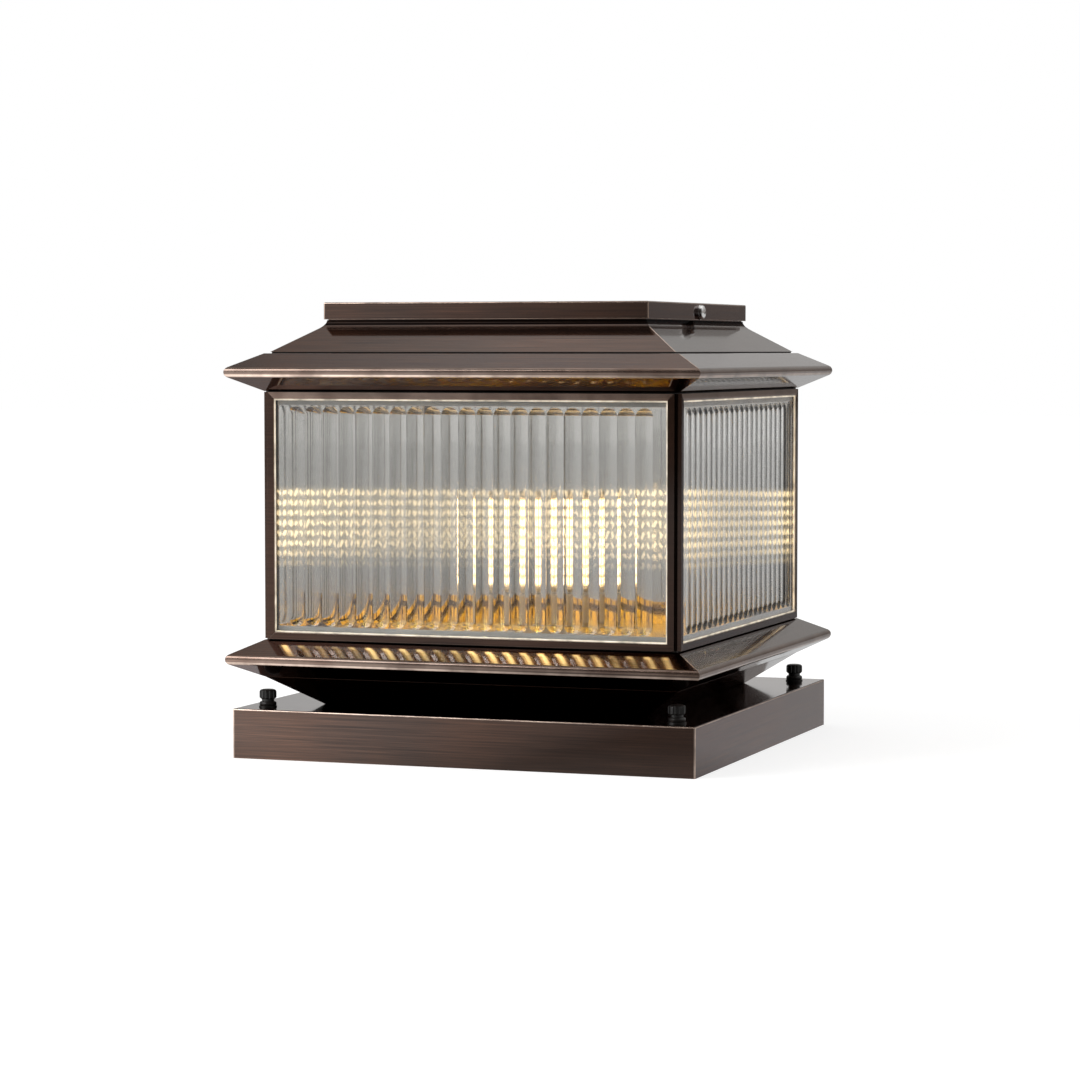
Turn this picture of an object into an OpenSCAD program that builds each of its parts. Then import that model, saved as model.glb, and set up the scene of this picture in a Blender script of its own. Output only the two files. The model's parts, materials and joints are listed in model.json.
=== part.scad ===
// Square pillar light: a base cover over a mounting plate, a splayed neck, a glazed lantern
// between two pointed eaves, a hipped roof and a flat cap that lifts off to change the lamp.
// Millimetres, +Z up. The origin is the middle of the underside, and the front faces -Y.

/* [Base] */
// Width of the square base cover
base_w = 293; // [284:1:330]
// Height of the base cover
base_h = 30.2; // [26:0.2:45]
// Sheet thickness of the base cover
base_wall = 1.5; // [1:0.1:2.5]
// Radius of the base cover's folded edges
base_edge_r = 0.9; // [0.4:0.1:1.4]
// Width of the square wiring window in the base's top
window_w = 160; // [110:2:176]

/* [Mounting plate] */
// Gap between the mounting plate and the walls of the base cover
plate_gap = 5; // [3:0.5:9]
// Thickness of the mounting plate
plate_t = 2.5; // [2:0.1:4]
// Spacing of the four anchor bolts
anchor_spacing = 200; // [160:5:215]
// Diameter of the anchor bolt holes
anchor_d = 10; // [7:0.5:13]
// Diameter of the cable bore through the grommet
cable_bore_d = 12; // [8:0.5:16]
// Rubber thickness round the cable bore
grommet_wall = 4; // [3:0.5:6]

/* [Thumb screws] */
// Distance of each thumb screw from the edges of the base
screw_inset = 16.2; // [14.5:0.1:20]
// Diameter of the threaded stud
stud_d = 6; // [4:0.5:8]
// Length of stud held in the threaded pillar
stud_grip = 4; // [3:0.5:12]
// Diameter of the scalloped knob
knob_d = 10.4; // [9.5:0.1:14]
// Height of the scalloped knob
knob_h = 6; // [4:0.2:9]
// Diameter of the neck under the knob
knob_neck_d = 7.6; // [7:0.1:8.8]
// Height of the neck under the knob
knob_neck_h = 1.4; // [0.8:0.1:3]
// Height of the collar under the neck
collar_h = 2.8; // [2:0.1:5]
// Number of scallops round the knob
scallops = 12; // [8:1:16]
// Thickness of the washers under the thumb screws and cap screws
washer_t = 0.8; // [0.5:0.1:1.5]

/* [Neck] */
// Width of the neck where it stands on the base
neck_w = 208; // [196:1:225]
// Height of the neck
neck_h = 18.5; // [14:0.5:30]
// Width of the flange folded inwards at the foot of the neck
neck_flange = 10; // [6:0.5:13]

/* [Sheet metal] */
// Thickness of the folded sheet
sheet = 1; // [0.8:0.05:1.4]
// Gap between the mitred panels where their weld is ground flush
mitre = 0.05; // [0.02:0.01:0.1]

/* [Eaves] */
// How far each eave stands out past the lantern
eave_out = 17.5; // [12:0.5:26]
// Height of each eave at the lantern
eave_h = 22.8; // [18:0.2:30]
// Radius of the rounded nose
nose_r = 3.6; // [2.4:0.1:4.6]
// How far the eave's folds are set in from the face of the lantern
fold_in = 1; // [0.4:0.1:2]
// Width of the flanges folded inwards at the top and bottom of each eave
eave_flange = 17.5; // [15:0.5:19]

/* [Lantern] */
// Width of the lantern across its faces
body_w = 265; // [250:1:280]
// Height of the lantern between its gaskets
body_h = 150; // [110:1:200]
// Depth of the square notch that runs up each corner
notch = 3.5; // [3.2:0.1:4]
// Visible width of the frame round each pane
bezel = 4.1; // [3.6:0.1:6]
// Thickness of the gaskets above and below the lantern frame
gasket_t = 0.5; // [0.4:0.1:1.2]
// Thickness of the gasket under the roof
roof_gasket_t = 0.8; // [0.4:0.1:1.5]
// Width of the gasket under the roof
roof_gasket_w = 7.5; // [4:0.5:10]
// How far the gaskets are set back from the metal's edges
gasket_set = 1; // [0.4:0.1:2]

/* [Glass] */
// Thickness of the panes
glass_t = 4; // [3.4:0.1:4.2]
// Width of the pane's edge that the frame hides
glass_bite = 1.9; // [1.4:0.1:2.1]
// Thickness of the seal between frame and pane
seal_t = 0.5; // [0.3:0.05:0.6]
// Number of flutes on each pane
flutes = 21; // [9:1:27]
// Depth of each flute
flute_depth = 1.5; // [0.8:0.1:1.8]
// Plain glass left and right of the flutes
flute_side = 9; // [5:0.5:16]
// Plain glass above and below the flutes
flute_end = 4.3; // [2.5:0.1:12]
// Narrow land left between two flutes
flute_land = 0.25; // [0.15:0.05:1]
// Width of the small angle that holds the panes in each corner
bead_w = 3; // [2:0.1:5]

/* [Roof] */
// Height of the sloped roof
roof_h = 16; // [12:0.5:26]
// How far the foot of the roof is set in from the eave below it
roof_in = 2.7; // [1:0.1:6]
// Width of the flange folded inwards round the roof's opening
roof_flange = 7; // [5:0.5:10]

/* [Cap] */
// Width of the square cap
cap_w = 208; // [196:1:220]
// Height of the cap
cap_h = 10.4; // [9.8:0.1:16]
// Sheet thickness of the cap
cap_wall = 1.2; // [0.9:0.1:1.6]
// Radius of the cap's folded edges
cap_edge_r = 0.8; // [0.4:0.1:1.1]
// Gap between the roof and the underside of the cap
cap_gap = 3.8; // [2.5:0.1:8]
// Free space between the cap and the collar inside it
collar_play = 1.1; // [0.6:0.1:2]
// Height of the cap screws below the cap's top
cap_screw_drop = 5.8; // [5.4:0.1:6.2]
// Diameter of the cap screws
cap_screw_d = 4; // [3:0.5:5]
// Length of the cap screws under their heads
cap_screw_len = 9; // [8:0.5:12]
// Diameter of the cap screws' pan heads
pan_head_d = 8.6; // [7:0.1:9]
// Height of the pan heads
pan_head_h = 3; // [2:0.1:4]
// Thickness of the nuts
nut_t = 3.2; // [2.4:0.1:4]
// Width across the flats of the nuts
nut_af = 7; // [5.5:0.1:8]
// Width of the foam strip under the cap
foam_w = 2; // [1.5:0.1:2.4]
// Height of the foam strip under the cap
foam_t = 2.6; // [1.5:0.1:4]
// How far the roof's upper edge is set in under the edge of the cap
roof_set = 0.5; // [0.2:0.1:1.5]

/* [Floor tray] */
// Depth of the floor tray
tray_depth = 5.5; // [3:0.5:9]
// Width of the tray's rim
tray_rim = 11.7; // [9:0.1:13]
// Diameter of the tray screws and of the earth screw
tray_screw_d = 4; // [3:0.5:5]
// Diameter of their pan heads
tray_head_d = 7; // [6:0.1:8]
// Height of their pan heads
tray_head_h = 2.2; // [1.5:0.1:3]

/* [Lamp and holder] */
// Diameter of the ceramic lampholder
holder_d = 38; // [34:0.5:44]
// Height of the ceramic lampholder
holder_h = 25; // [22:0.5:30]
// Width of the strap that carries the lampholder
bracket_w = 22; // [16:1:30]
// Thickness of that strap
bracket_t = 1.5; // [1:0.1:2.5]
// Diameter of the screws that hold the strap
holder_screw_d = 3; // [2.5:0.5:4]
// Outside diameter of the lamp's screw cap
lamp_cap_d = 26.4; // [26:0.1:26.6]
// Length of the lamp's screw cap inside the holder
lamp_cap_len = 16; // [14:0.5:18]
// Width across the flats of the lamp's light column
column_af = 30; // [26:0.5:36]
// Length of the lit part of the lamp
column_h = 56; // [40:1:80]
// Number of rows of light chips
chip_rows = 9; // [5:1:12]
// Number of flat sides on the light column
column_sides = 8; // [6:1:12]
// Length of one light chip
chip_len = 4; // [2:0.1:5]
// Width of one light chip
chip_w = 3; // [2:0.1:3.6]

/* [Wiring] */
// Outside diameter of the insulated leads
lead_d = 2.4; // [1.6:0.1:3]
// Spacing of the two leads at the lampholder
lead_spacing = 6; // [4:0.2:8]
// Bend radius of the leads
lead_bend_r = 6; // [4:0.5:8]
// Length of the terminal block
block_len = 30; // [24:1:40]
// Height of the terminal block
block_h = 13; // [11:0.5:18]
// Distance of the terminal block from the middle of the lamp
block_near = 26; // [20:1:40]
// Distance of the earth screw from the middle, on the other side
earth_out = 52; // [30:1:80]

/* [Hidden] */

// Clearances
touch = 0.1;
loose = 0.3;
run_play = 0.05;
far = 400;
tiny = 0.01;

// Half widths of the square plan, from the bottom up
base_half = base_w / 2;
neck_half = neck_w / 2;
body_half = body_w / 2;
fold_half = body_half - fold_in;
eave_half = body_half + eave_out;
flange_half = fold_half - eave_flange;
roof_half = fold_half - roof_in;
cap_half = cap_w / 2;
roof_top_half = cap_half - roof_set;
collar_half = cap_half - cap_wall - collar_play;
opening_half = roof_top_half - roof_flange;

// Thumb screws and mounting plate
screw_at = base_half - screw_inset;
plate_half = base_half - base_wall - plate_gap;
pillar_d = stud_d + 6;
pillar_top = base_h - base_wall - loose;
screw_seat = base_h + washer_t;
knob_top = screw_seat + collar_h + knob_neck_h + knob_h;
knob_in = screw_at - knob_d / 2 / sqrt(2);

// The neck is at least high enough for its sloping corners to pass over the knobs
neck_clear = (knob_top + touch - base_h) * (fold_half - neck_half) / (knob_in - neck_half);
neck_rise = max(neck_h, neck_clear);

// Heights, from the bottom up
neck_z = base_h;
lower_eave_z = neck_z + neck_rise;
body_z = lower_eave_z + eave_h + gasket_t;
body_top = body_z + body_h;
upper_eave_z = body_top + gasket_t;
roof_z = upper_eave_z + eave_h + roof_gasket_t;
roof_top = roof_z + roof_h;
cap_z = roof_top + cap_gap;
cap_top = cap_z + cap_h;
collar_top = cap_top - cap_wall - foam_t;
cap_screw_z = cap_top - cap_screw_drop;
tray_z = lower_eave_z + eave_h;
tray_floor = tray_z - tray_depth + sheet;

// Frame and glass
stile = body_half - notch;
sight_half = stile - bezel;
sight_z = body_z + bezel;
sight_top = body_top - bezel;
seal_y = body_half - sheet;
glass_y = seal_y - seal_t;
glass_back_y = glass_y - glass_t;
pane_half = sight_half + glass_bite;
pane_z = sight_z - glass_bite;
pane_top = sight_top + glass_bite;
rail_lip = glass_back_y - loose;
flute_pitch = 2 * (sight_half - flute_side) / flutes;
flute_w = flute_pitch - flute_land;
flute_r = (flute_w * flute_w / 4 + flute_depth * flute_depth) / (2 * flute_depth);
tray_half = rail_lip - sheet - loose;
pan_half = min(tray_half - tray_rim, flange_half - loose);

// Holes for the small screws, and the washers of the cap screws
tray_hole_r = tray_screw_d / 2 + loose;
holder_hole_r = holder_screw_d / 2 + loose;
cap_washer_d = pan_head_d + 0.6;

// Lampholder and lamp
shell_wall = 0.5;
shell_r = lamp_cap_d / 2 + touch + shell_wall;
holder_z = tray_floor + bracket_t;
holder_top = holder_z + holder_h;
holder_web = holder_z + 4;
lamp_z = holder_web + 3;
tip_h = 2.5;
lamp_cap_z = lamp_z + tip_h;
lamp_cap_wall = 1;
housing_z = max(lamp_cap_z + lamp_cap_len, holder_top + 0.6);
housing_h = 4.5;
column_z = housing_z + housing_h;
column_top = column_z + column_h;
column_r = column_af / 2 / cos(180 / column_sides);
cavity_r = lamp_cap_d / 2 - lamp_cap_wall;
tip_r = 6;

// Wiring under the tray
tray_under = tray_floor - sheet;
lead_hole_r = lead_d / 2 + touch;
block_side = 5;
block_w = 2 * lead_spacing + 2 * block_side;
lead_z = tray_under - block_h + 4;
wire_grip = 6;
wire_hole = lead_spacing + lead_d + 3.6;
grommet_lip = 1.5;
lug_t = 0.8;
lug_w = 4;
earth_lug_r = tray_head_d / 2 + 0.5;
earth_x = 1.5 * lead_spacing;

// Point at a radius and an angle round a centre, in the plane of a section
function round_point(centre, r, angle) = [centre[0] + r * cos(angle), centre[1] + r * sin(angle)];

// Closed bent-sheet section that slopes out from a narrow foot to a wide head, with a
// flange folded inwards at each end. r is the half width and z the height.
function slope_section(r_foot, r_head, h, foot_flange, head_flange) =
    let (
        angle = atan2(h, r_head - r_foot),
        run = (h - sheet - sheet * cos(angle)) / sin(angle)
    )
    [
        [r_foot - foot_flange, 0],
        [r_foot, 0],
        [r_head, h],
        [r_head - head_flange, h],
        [r_head - head_flange, h - sheet],
        [r_foot - sheet * sin(angle) + run * cos(angle), h - sheet],
        [r_foot - sheet * tan(angle / 2), sheet],
        [r_foot - foot_flange, sheet]
    ];

// Angle of the eave's faces, tangent from the fold to the rounded nose
function eave_angle() =
    let (
        out = eave_half - nose_r - fold_half,
        up = eave_h / 2
    )
    atan2(up, out) - asin(nose_r / sqrt(out * out + up * up));

// Closed bent-sheet section of an eave: flange, upper face, round nose, lower face, flange
function eave_section() =
    let (
        up = eave_h / 2,
        nose = [eave_half - nose_r, 0],
        angle = eave_angle(),
        arc = 90 - angle,
        steps = 14,
        back = sheet * tan(angle / 2)
    )
    concat(
        [[fold_half - eave_flange, up], [fold_half, up]],
        [for (i = [0:steps]) round_point(nose, nose_r, arc - 2 * arc * i / steps)],
        [[fold_half, -up], [fold_half - eave_flange, -up]],
        [[fold_half - eave_flange, -up + sheet], [fold_half - back, -up + sheet]],
        [for (i = [0:steps]) round_point(nose, nose_r - sheet, -arc + 2 * arc * i / steps)],
        [[fold_half - back, up - sheet], [fold_half - eave_flange, up - sheet]]
    );

// Wedge that keeps one side of a square ring, cut at 45 degrees at both ends
module mitre_wedge() {
    translate([0, 0, -far])
    linear_extrude(2 * far)
    polygon([[mitre, 0], [mitre + far, far], [mitre + far, -far]]);
}

// Four mitred panels of a section given as half width and height
module mitred_ring(section) {
    for (turn = [0:90:270]) {
        rotate([0, 0, turn])
        intersection() {
            rotate([90, 0, 0])
            linear_extrude(2 * far, center = true)
            polygon(section);
            mitre_wedge();
        }
    }
}

// Flat square ring between two half widths
module square_ring(outer, inner, z, h) {
    difference() {
        translate([-outer, -outer, z])
        cube([2 * outer, 2 * outer, h]);
        translate([-inner, -inner, z - 1])
        cube([2 * inner, 2 * inner, h + 2]);
    }
}

// Section of a box with both upper corners rounded
function rounded_top(half, h, r) =
    let (steps = 5)
    concat(
        [[-half, 0], [half, 0]],
        [for (i = [0:steps]) round_point([half - r, h - r], r, 90 * i / steps)],
        [for (i = [0:steps]) round_point([r - half, h - r], r, 90 + 90 * i / steps)]
    );

// Plan of a square with rounded corners
function rounded_square(half, r) =
    let (steps = 5)
    [
        for (corner = [0:3], i = [0:steps])
        round_point(
            [(half - r) * (corner == 0 || corner == 3 ? 1 : -1), (half - r) * (corner < 2 ? 1 : -1)],
            r,
            90 * corner + 90 * i / steps
        )
    ];

// Square box whose upright and upper edges are rounded like folded sheet
module folded_box(half, h, r) {
    intersection() {
        linear_extrude(h)
        polygon(rounded_square(half, r));
        rotate([90, 0, 0])
        linear_extrude(2 * far, center = true)
        polygon(rounded_top(half, h, r));
        rotate([90, 0, 90])
        linear_extrude(2 * far, center = true)
        polygon(rounded_top(half, h, r));
    }
}

// Four copies at the corners of a square
module at_corners(distance) {
    for (x = [-1, 1], y = [-1, 1]) {
        translate([x * distance, y * distance, 0])
        children();
    }
}

// Hexagon nut standing on z = 0 with a plain hole
module hex_nut(across, bore_d, h) {
    difference() {
        cylinder(d = across / cos(30), h = h, $fn = 6);
        translate([0, 0, -1])
        cylinder(d = bore_d, h = h + 2, $fn = 32);
    }
}

// Pan head screw: the head stands up from z = 0 and the shank points down
module pan_screw(d, length, head_d, head_h) {
    difference() {
        union() {
            rotate_extrude($fn = 48)
            polygon(concat(
                [[0, 0], [head_d / 2, 0]],
                [for (i = [0:6]) [head_d / 2 * cos(15 * i), head_h * (0.35 + 0.65 * sin(15 * i))]]
            ));
            translate([0, 0, -length])
            cylinder(d = d, h = length + tiny, $fn = 32);
        }
        for (turn = [0, 90]) {
            rotate([0, 0, turn])
            translate([-head_d * 0.3, -head_d * 0.06, head_h * 0.45])
            cube([head_d * 0.6, head_d * 0.12, head_h]);
        }
    }
}

module mounting_plate() {
    color("silver")
    difference() {
        translate([-plate_half, -plate_half, 0])
        cube([2 * plate_half, 2 * plate_half, plate_t]);
        at_corners(anchor_spacing / 2)
        translate([0, 0, -1])
        cylinder(d = anchor_d, h = plate_t + 2, $fn = 48);
        translate([0, 0, -1])
        cylinder(d = cable_bore_d + 2 * grommet_wall, h = plate_t + 2, $fn = 64);
    }
}

// Threaded pillars welded to the plate, which take the thumb screws
module plate_pillars() {
    color("silver")
    at_corners(screw_at)
    difference() {
        translate([0, 0, plate_t])
        cylinder(d = pillar_d, h = pillar_top - plate_t, $fn = 48);
        translate([0, 0, pillar_top - stud_grip - 3])
        cylinder(r = stud_d / 2 + run_play, h = stud_grip + 4, $fn = 48);
    }
}

module cable_grommet() {
    spigot_r = cable_bore_d / 2 + grommet_wall - touch;
    color("dimgray")
    rotate_extrude($fn = 64)
    polygon([
        [cable_bore_d / 2, touch],
        [spigot_r, touch],
        [spigot_r, plate_t],
        [spigot_r + grommet_wall, plate_t],
        [spigot_r + grommet_wall, plate_t + 1],
        [spigot_r, plate_t + 3],
        [cable_bore_d / 2, plate_t + 3]
    ]);
}

module base_cover() {
    inner = base_half - base_wall;
    color("saddlebrown")
    difference() {
        folded_box(base_half, base_h, base_edge_r);
        translate([-inner, -inner, -1])
        cube([2 * inner, 2 * inner, base_h - base_wall + 1]);
        translate([-window_w / 2, -window_w / 2, -1])
        cube([window_w, window_w, base_h + 2]);
        at_corners(screw_at)
        translate([0, 0, -1])
        cylinder(r = stud_d / 2 + loose, h = base_h + 2, $fn = 48);
    }
}

// Splayed neck, welded to the base cover and to the lower eave
module neck() {
    color("saddlebrown")
    translate([0, 0, neck_z])
    mitred_ring(slope_section(neck_half, fold_half, neck_rise, neck_flange, eave_flange));
}

module lower_eave() {
    color("saddlebrown")
    difference() {
        translate([0, 0, lower_eave_z + eave_h / 2])
        mitred_ring(eave_section());
        tray_screw_places()
        translate([0, 0, tray_z - 3 * sheet])
        cylinder(r = tray_hole_r, h = 4 * sheet, $fn = 32);
    }
}

module upper_eave() {
    color("saddlebrown")
    translate([0, 0, upper_eave_z + eave_h / 2])
    mitred_ring(eave_section());
}

// Thin rubber rings that show as dark seams below, above and on top of the lantern
module frame_gaskets() {
    inner = rail_lip - sheet + touch;
    color("black") {
        square_ring(fold_half - gasket_set, inner, body_z - gasket_t, gasket_t);
        square_ring(fold_half - gasket_set, inner, body_top, gasket_t);
        square_ring(roof_half - gasket_set, roof_half - gasket_set - roof_gasket_w,
            roof_z - roof_gasket_t, roof_gasket_t);
    }
}

// Corner post: a sheet folded into a front lip, a square notch and a side lip
module corner_post(turn) {
    color("saddlebrown")
    rotate([0, 0, turn])
    union() {
        post_half();
        mirror([1, 1, 0])
        post_half();
    }
}

// Front lip and one wall of the notch, at the near right corner
module post_half() {
    translate([0, -seal_y, 0])
    rotate([90, 0, 0])
    linear_extrude(sheet)
    polygon([
        [stile, body_z + mitre],
        [stile, body_top - mitre],
        [sight_half, sight_top - mitre],
        [sight_half, sight_z + mitre]
    ]);
    translate([stile - sheet, -seal_y, body_z])
    cube([sheet, seal_y - stile + sheet, body_h]);
}

// Channel under the front pane, with 45 degree ends
module bottom_rail() {
    reach = stile - sheet - touch;
    translate([0, -seal_y, 0])
    rotate([90, 0, 0])
    linear_extrude(sheet)
    polygon([
        [mitre - stile, body_z],
        [stile - mitre, body_z],
        [sight_half - mitre, sight_z],
        [mitre - sight_half, sight_z]
    ]);
    intersection() {
        union() {
            translate([-reach, -seal_y, body_z])
            cube([2 * reach, seal_y - rail_lip + sheet, sheet]);
            translate([-reach, -rail_lip, body_z])
            cube([2 * reach, sheet, bezel]);
        }
        rotate([0, 0, -90])
        mitre_wedge();
    }
}

module bottom_rails() {
    color("saddlebrown")
    for (turn = [0:90:270]) {
        rotate([0, 0, turn])
        bottom_rail();
    }
}

module top_rails() {
    color("saddlebrown")
    translate([0, 0, body_z + body_top])
    mirror([0, 0, 1])
    for (turn = [0:90:270]) {
        rotate([0, 0, turn])
        bottom_rail();
    }
}

// Small angles that hold the panes' upright edges from inside
module corner_beads() {
    z = sight_z + touch;
    h = sight_top - touch - z;
    color("saddlebrown")
    for (turn = [0:90:270]) {
        rotate([0, 0, turn])
        difference() {
            translate([rail_lip - bead_w, -rail_lip, z])
            cube([bead_w, bead_w, h]);
            translate([rail_lip - bead_w - 1, sheet - rail_lip, z - 1])
            cube([bead_w + 1 - sheet, bead_w + 1, h + 2]);
        }
    }
}

// Front pane: plain glass with concave flutes whose ends are round
module glass_pane(turn) {
    flute_low = sight_z + flute_end + flute_w / 2;
    flute_high = sight_top - flute_end - flute_w / 2;
    axis_y = -glass_y - flute_r + flute_depth;
    color("lightcyan", 0.4)
    rotate([0, 0, turn])
    difference() {
        translate([-pane_half, -glass_y, pane_z])
        cube([2 * pane_half, glass_t, pane_top - pane_z]);
        for (i = [0:flutes - 1]) {
            translate([(i + 0.5 - flutes / 2) * flute_pitch, axis_y, flute_low])
            flute_tool(flute_high - flute_low);
        }
    }
}

// Round bar with ball ends that cuts one flute
module flute_tool(length) {
    cylinder(r = flute_r, h = length, $fn = 96);
    sphere(r = flute_r - 0.01, $fn = 96);
    translate([0, 0, length])
    sphere(r = flute_r - 0.01, $fn = 96);
}

// Seals between the frame and the panes, with the blocks that the panes stand on
module pane_seals() {
    low = body_z + sheet;
    high = body_top - sheet;
    color("dimgray")
    for (turn = [0:90:270]) {
        rotate([0, 0, turn])
        difference() {
            translate([-pane_half, -seal_y, low])
            cube([2 * pane_half, seal_y - glass_back_y, high - low]);
            translate([-pane_half - 1, -glass_y, pane_z])
            cube([2 * pane_half + 2, glass_t + 1, pane_top - pane_z]);
            translate([-sight_half, -seal_y - 1, sight_z])
            cube([2 * sight_half, glass_t + 3, sight_top - sight_z]);
        }
    }
}

module roof() {
    section = slope_section(roof_top_half, roof_half, roof_h, roof_flange, eave_flange - roof_in);
    color("saddlebrown")
    translate([0, 0, roof_z])
    mitred_ring([for (p = section) [p[0], roof_h - p[1]]]);
}

// Upstand round the roof's opening, with slots open at the top for the cap screws
module roof_collar() {
    inner = collar_half - sheet;
    slot = cap_screw_d / 2 + loose;
    color("saddlebrown")
    difference() {
        union() {
            square_ring(collar_half, inner, roof_top, collar_top - roof_top);
            square_ring(inner + tiny, opening_half, roof_top, sheet);
        }
        translate([-collar_half - 1, -slot, cap_screw_z])
        cube([2 * collar_half + 2, 2 * slot, far]);
        translate([-collar_half - 1, 0, cap_screw_z])
        rotate([0, 90, 0])
        cylinder(r = slot, h = 2 * collar_half + 2, $fn = 48);
    }
}

module cap() {
    inner = cap_half - cap_wall;
    color("saddlebrown")
    translate([0, 0, cap_z])
    difference() {
        folded_box(cap_half, cap_h, cap_edge_r);
        translate([-inner, -inner, -1])
        cube([2 * inner, 2 * inner, cap_h - cap_wall + 1]);
        translate([-cap_half - 1, 0, cap_screw_z - cap_z])
        rotate([0, 90, 0])
        cylinder(r = cap_screw_d / 2 + loose, h = 2 * cap_half + 2, $fn = 48);
    }
}

// Foam strip stuck under the cap, which rests on the collar
module cap_foam() {
    inner = collar_half - sheet;
    color("black")
    square_ring(min(inner + foam_w, cap_half - cap_wall - touch), inner, collar_top + touch,
        foam_t - touch);
}

module cap_nuts() {
    color("silver")
    for (turn = [0, 180]) {
        rotate([0, 0, turn])
        translate([collar_half - sheet - touch - nut_t, 0, cap_screw_z])
        rotate([0, 90, 0])
        rotate([0, 0, 90])
        hex_nut(nut_af, cap_screw_d + 2 * run_play, nut_t);
    }
}

module cap_washer(turn) {
    color("silver")
    rotate([0, 0, turn])
    translate([cap_half, 0, cap_screw_z])
    rotate([0, 90, 0])
    difference() {
        cylinder(d = cap_washer_d, h = washer_t, $fn = 48);
        translate([0, 0, -1])
        cylinder(r = cap_screw_d / 2 + run_play, h = washer_t + 2, $fn = 48);
    }
}

module cap_screw(turn) {
    color("whitesmoke")
    rotate([0, 0, turn])
    translate([cap_half + washer_t, 0, cap_screw_z])
    rotate([0, 90, 0])
    pan_screw(cap_screw_d, cap_screw_len, pan_head_d, pan_head_h);
}

// Pan under the lamp, whose rim lies on the lower eave
module floor_tray() {
    color("goldenrod")
    difference() {
        union() {
            translate([-tray_half, -tray_half, tray_z])
            cube([2 * tray_half, 2 * tray_half, sheet]);
            translate([-pan_half, -pan_half, tray_under])
            cube([2 * pan_half, 2 * pan_half, tray_z - tray_under + tiny]);
        }
        translate([sheet - pan_half, sheet - pan_half, tray_floor])
        cube([2 * (pan_half - sheet), 2 * (pan_half - sheet), far]);
        translate([0, 0, tray_under - sheet])
        cylinder(d = wire_hole + 2 * grommet_lip, h = 3 * sheet, $fn = 48);
        holder_screw_places()
        translate([0, 0, tray_under - sheet])
        cylinder(r = holder_hole_r, h = 3 * sheet, $fn = 32);
        tray_screw_places()
        translate([0, 0, tray_z - sheet])
        cylinder(r = tray_hole_r, h = 3 * sheet, $fn = 32);
        translate([earth_x, -earth_out, tray_under - sheet])
        cylinder(r = tray_hole_r, h = 3 * sheet, $fn = 32);
    }
}

module tray_screw_places() {
    for (turn = [0:90:270]) {
        rotate([0, 0, turn])
        translate([(tray_half + flange_half) / 2, 0, 0])
        children();
    }
}

module tray_screws() {
    color("silver")
    tray_screw_places()
    translate([0, 0, tray_z + sheet])
    pan_screw(tray_screw_d, 2 * sheet + nut_t + 1, tray_head_d, tray_head_h);
}

module tray_nuts() {
    color("silver")
    tray_screw_places()
    translate([0, 0, tray_z - sheet - nut_t])
    hex_nut(nut_af, tray_screw_d + 2 * run_play, nut_t);
}

module holder_screw_places() {
    for (x = [-1, 1]) {
        translate([x * (holder_d / 2 + 6), 0, 0])
        children();
    }
}

// Flat strap that carries the lampholder
module holder_bracket() {
    color("silver")
    difference() {
        translate([-holder_d / 2 - 12, -bracket_w / 2, tray_floor])
        cube([holder_d + 24, bracket_w, bracket_t]);
        holder_screw_places()
        translate([0, 0, tray_floor - 1])
        cylinder(r = holder_hole_r, h = bracket_t + 2, $fn = 32);
        translate([0, 0, tray_floor - 1])
        cylinder(d = wire_hole, h = bracket_t + 2, $fn = 48);
    }
}

module holder_screws() {
    color("silver")
    holder_screw_places()
    translate([0, 0, holder_z])
    pan_screw(holder_screw_d, bracket_t + sheet + 1.5, 1.9 * holder_screw_d, 0.65 * holder_screw_d);
}

// Ceramic lampholder: a cup on a narrower foot, with a web through which the leads pass
module holder_body() {
    r = holder_d / 2;
    bore = shell_r + touch;
    foot_r = r - 3;
    edge = 1.5;
    color("ivory")
    difference() {
        rotate_extrude($fn = 96)
        polygon([
            [0, holder_z],
            [foot_r, holder_z],
            [foot_r, holder_web + 1],
            [r, holder_web + 3],
            [r, holder_top - edge],
            [r - edge, holder_top],
            [bore, holder_top],
            [bore, holder_web],
            [0, holder_web]
        ]);
        lead_places()
        translate([0, 0, holder_z - 1])
        cylinder(r = lead_hole_r, h = holder_web - holder_z + 2, $fn = 32);
    }
}

// Brass screw shell inside the lampholder, with a thicker ring at its foot
module holder_shell() {
    ring_h = 2;
    ring_wall = 1.2;
    shell_h = holder_top - holder_web - 3;
    color("gold")
    translate([0, 0, holder_web])
    rotate_extrude($fn = 96)
    polygon([
        [shell_r - ring_wall, 0],
        [shell_r, 0],
        [shell_r, shell_h],
        [shell_r - shell_wall, shell_h],
        [shell_r - shell_wall, ring_h],
        [shell_r - ring_wall, ring_h]
    ]);
}

// Contact tongue under the tip of the lamp
module holder_contact() {
    leaf_t = 0.6;
    color("gold") {
        translate([-4, -2, holder_web])
        cube([8, 4, leaf_t]);
        translate([0, 0, holder_web + leaf_t - tiny])
        cylinder(r = 1.9, h = lamp_z - holder_web - leaf_t - loose + tiny, $fn = 32);
    }
}

module lead_places() {
    for (x = [-1, 1]) {
        translate([x * lead_spacing / 2, 0, 0])
        children();
    }
}

// Block of three ways under the tray: the lantern's own leads enter on the near side and
// the supply cable on the far side, and the screws face down
module terminal_block() {
    low = tray_under - block_h;
    color("whitesmoke")
    difference() {
        translate([-lead_spacing / 2 - block_side, block_near, low])
        cube([block_w, block_len, block_h]);
        for (way = [0:2], side = [0, 1]) {
            translate([(way - 0.5) * lead_spacing, block_near + side * block_len, 0])
            rotate([0, 0, 180 * side])
            terminal_way(low);
        }
    }
}

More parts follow.
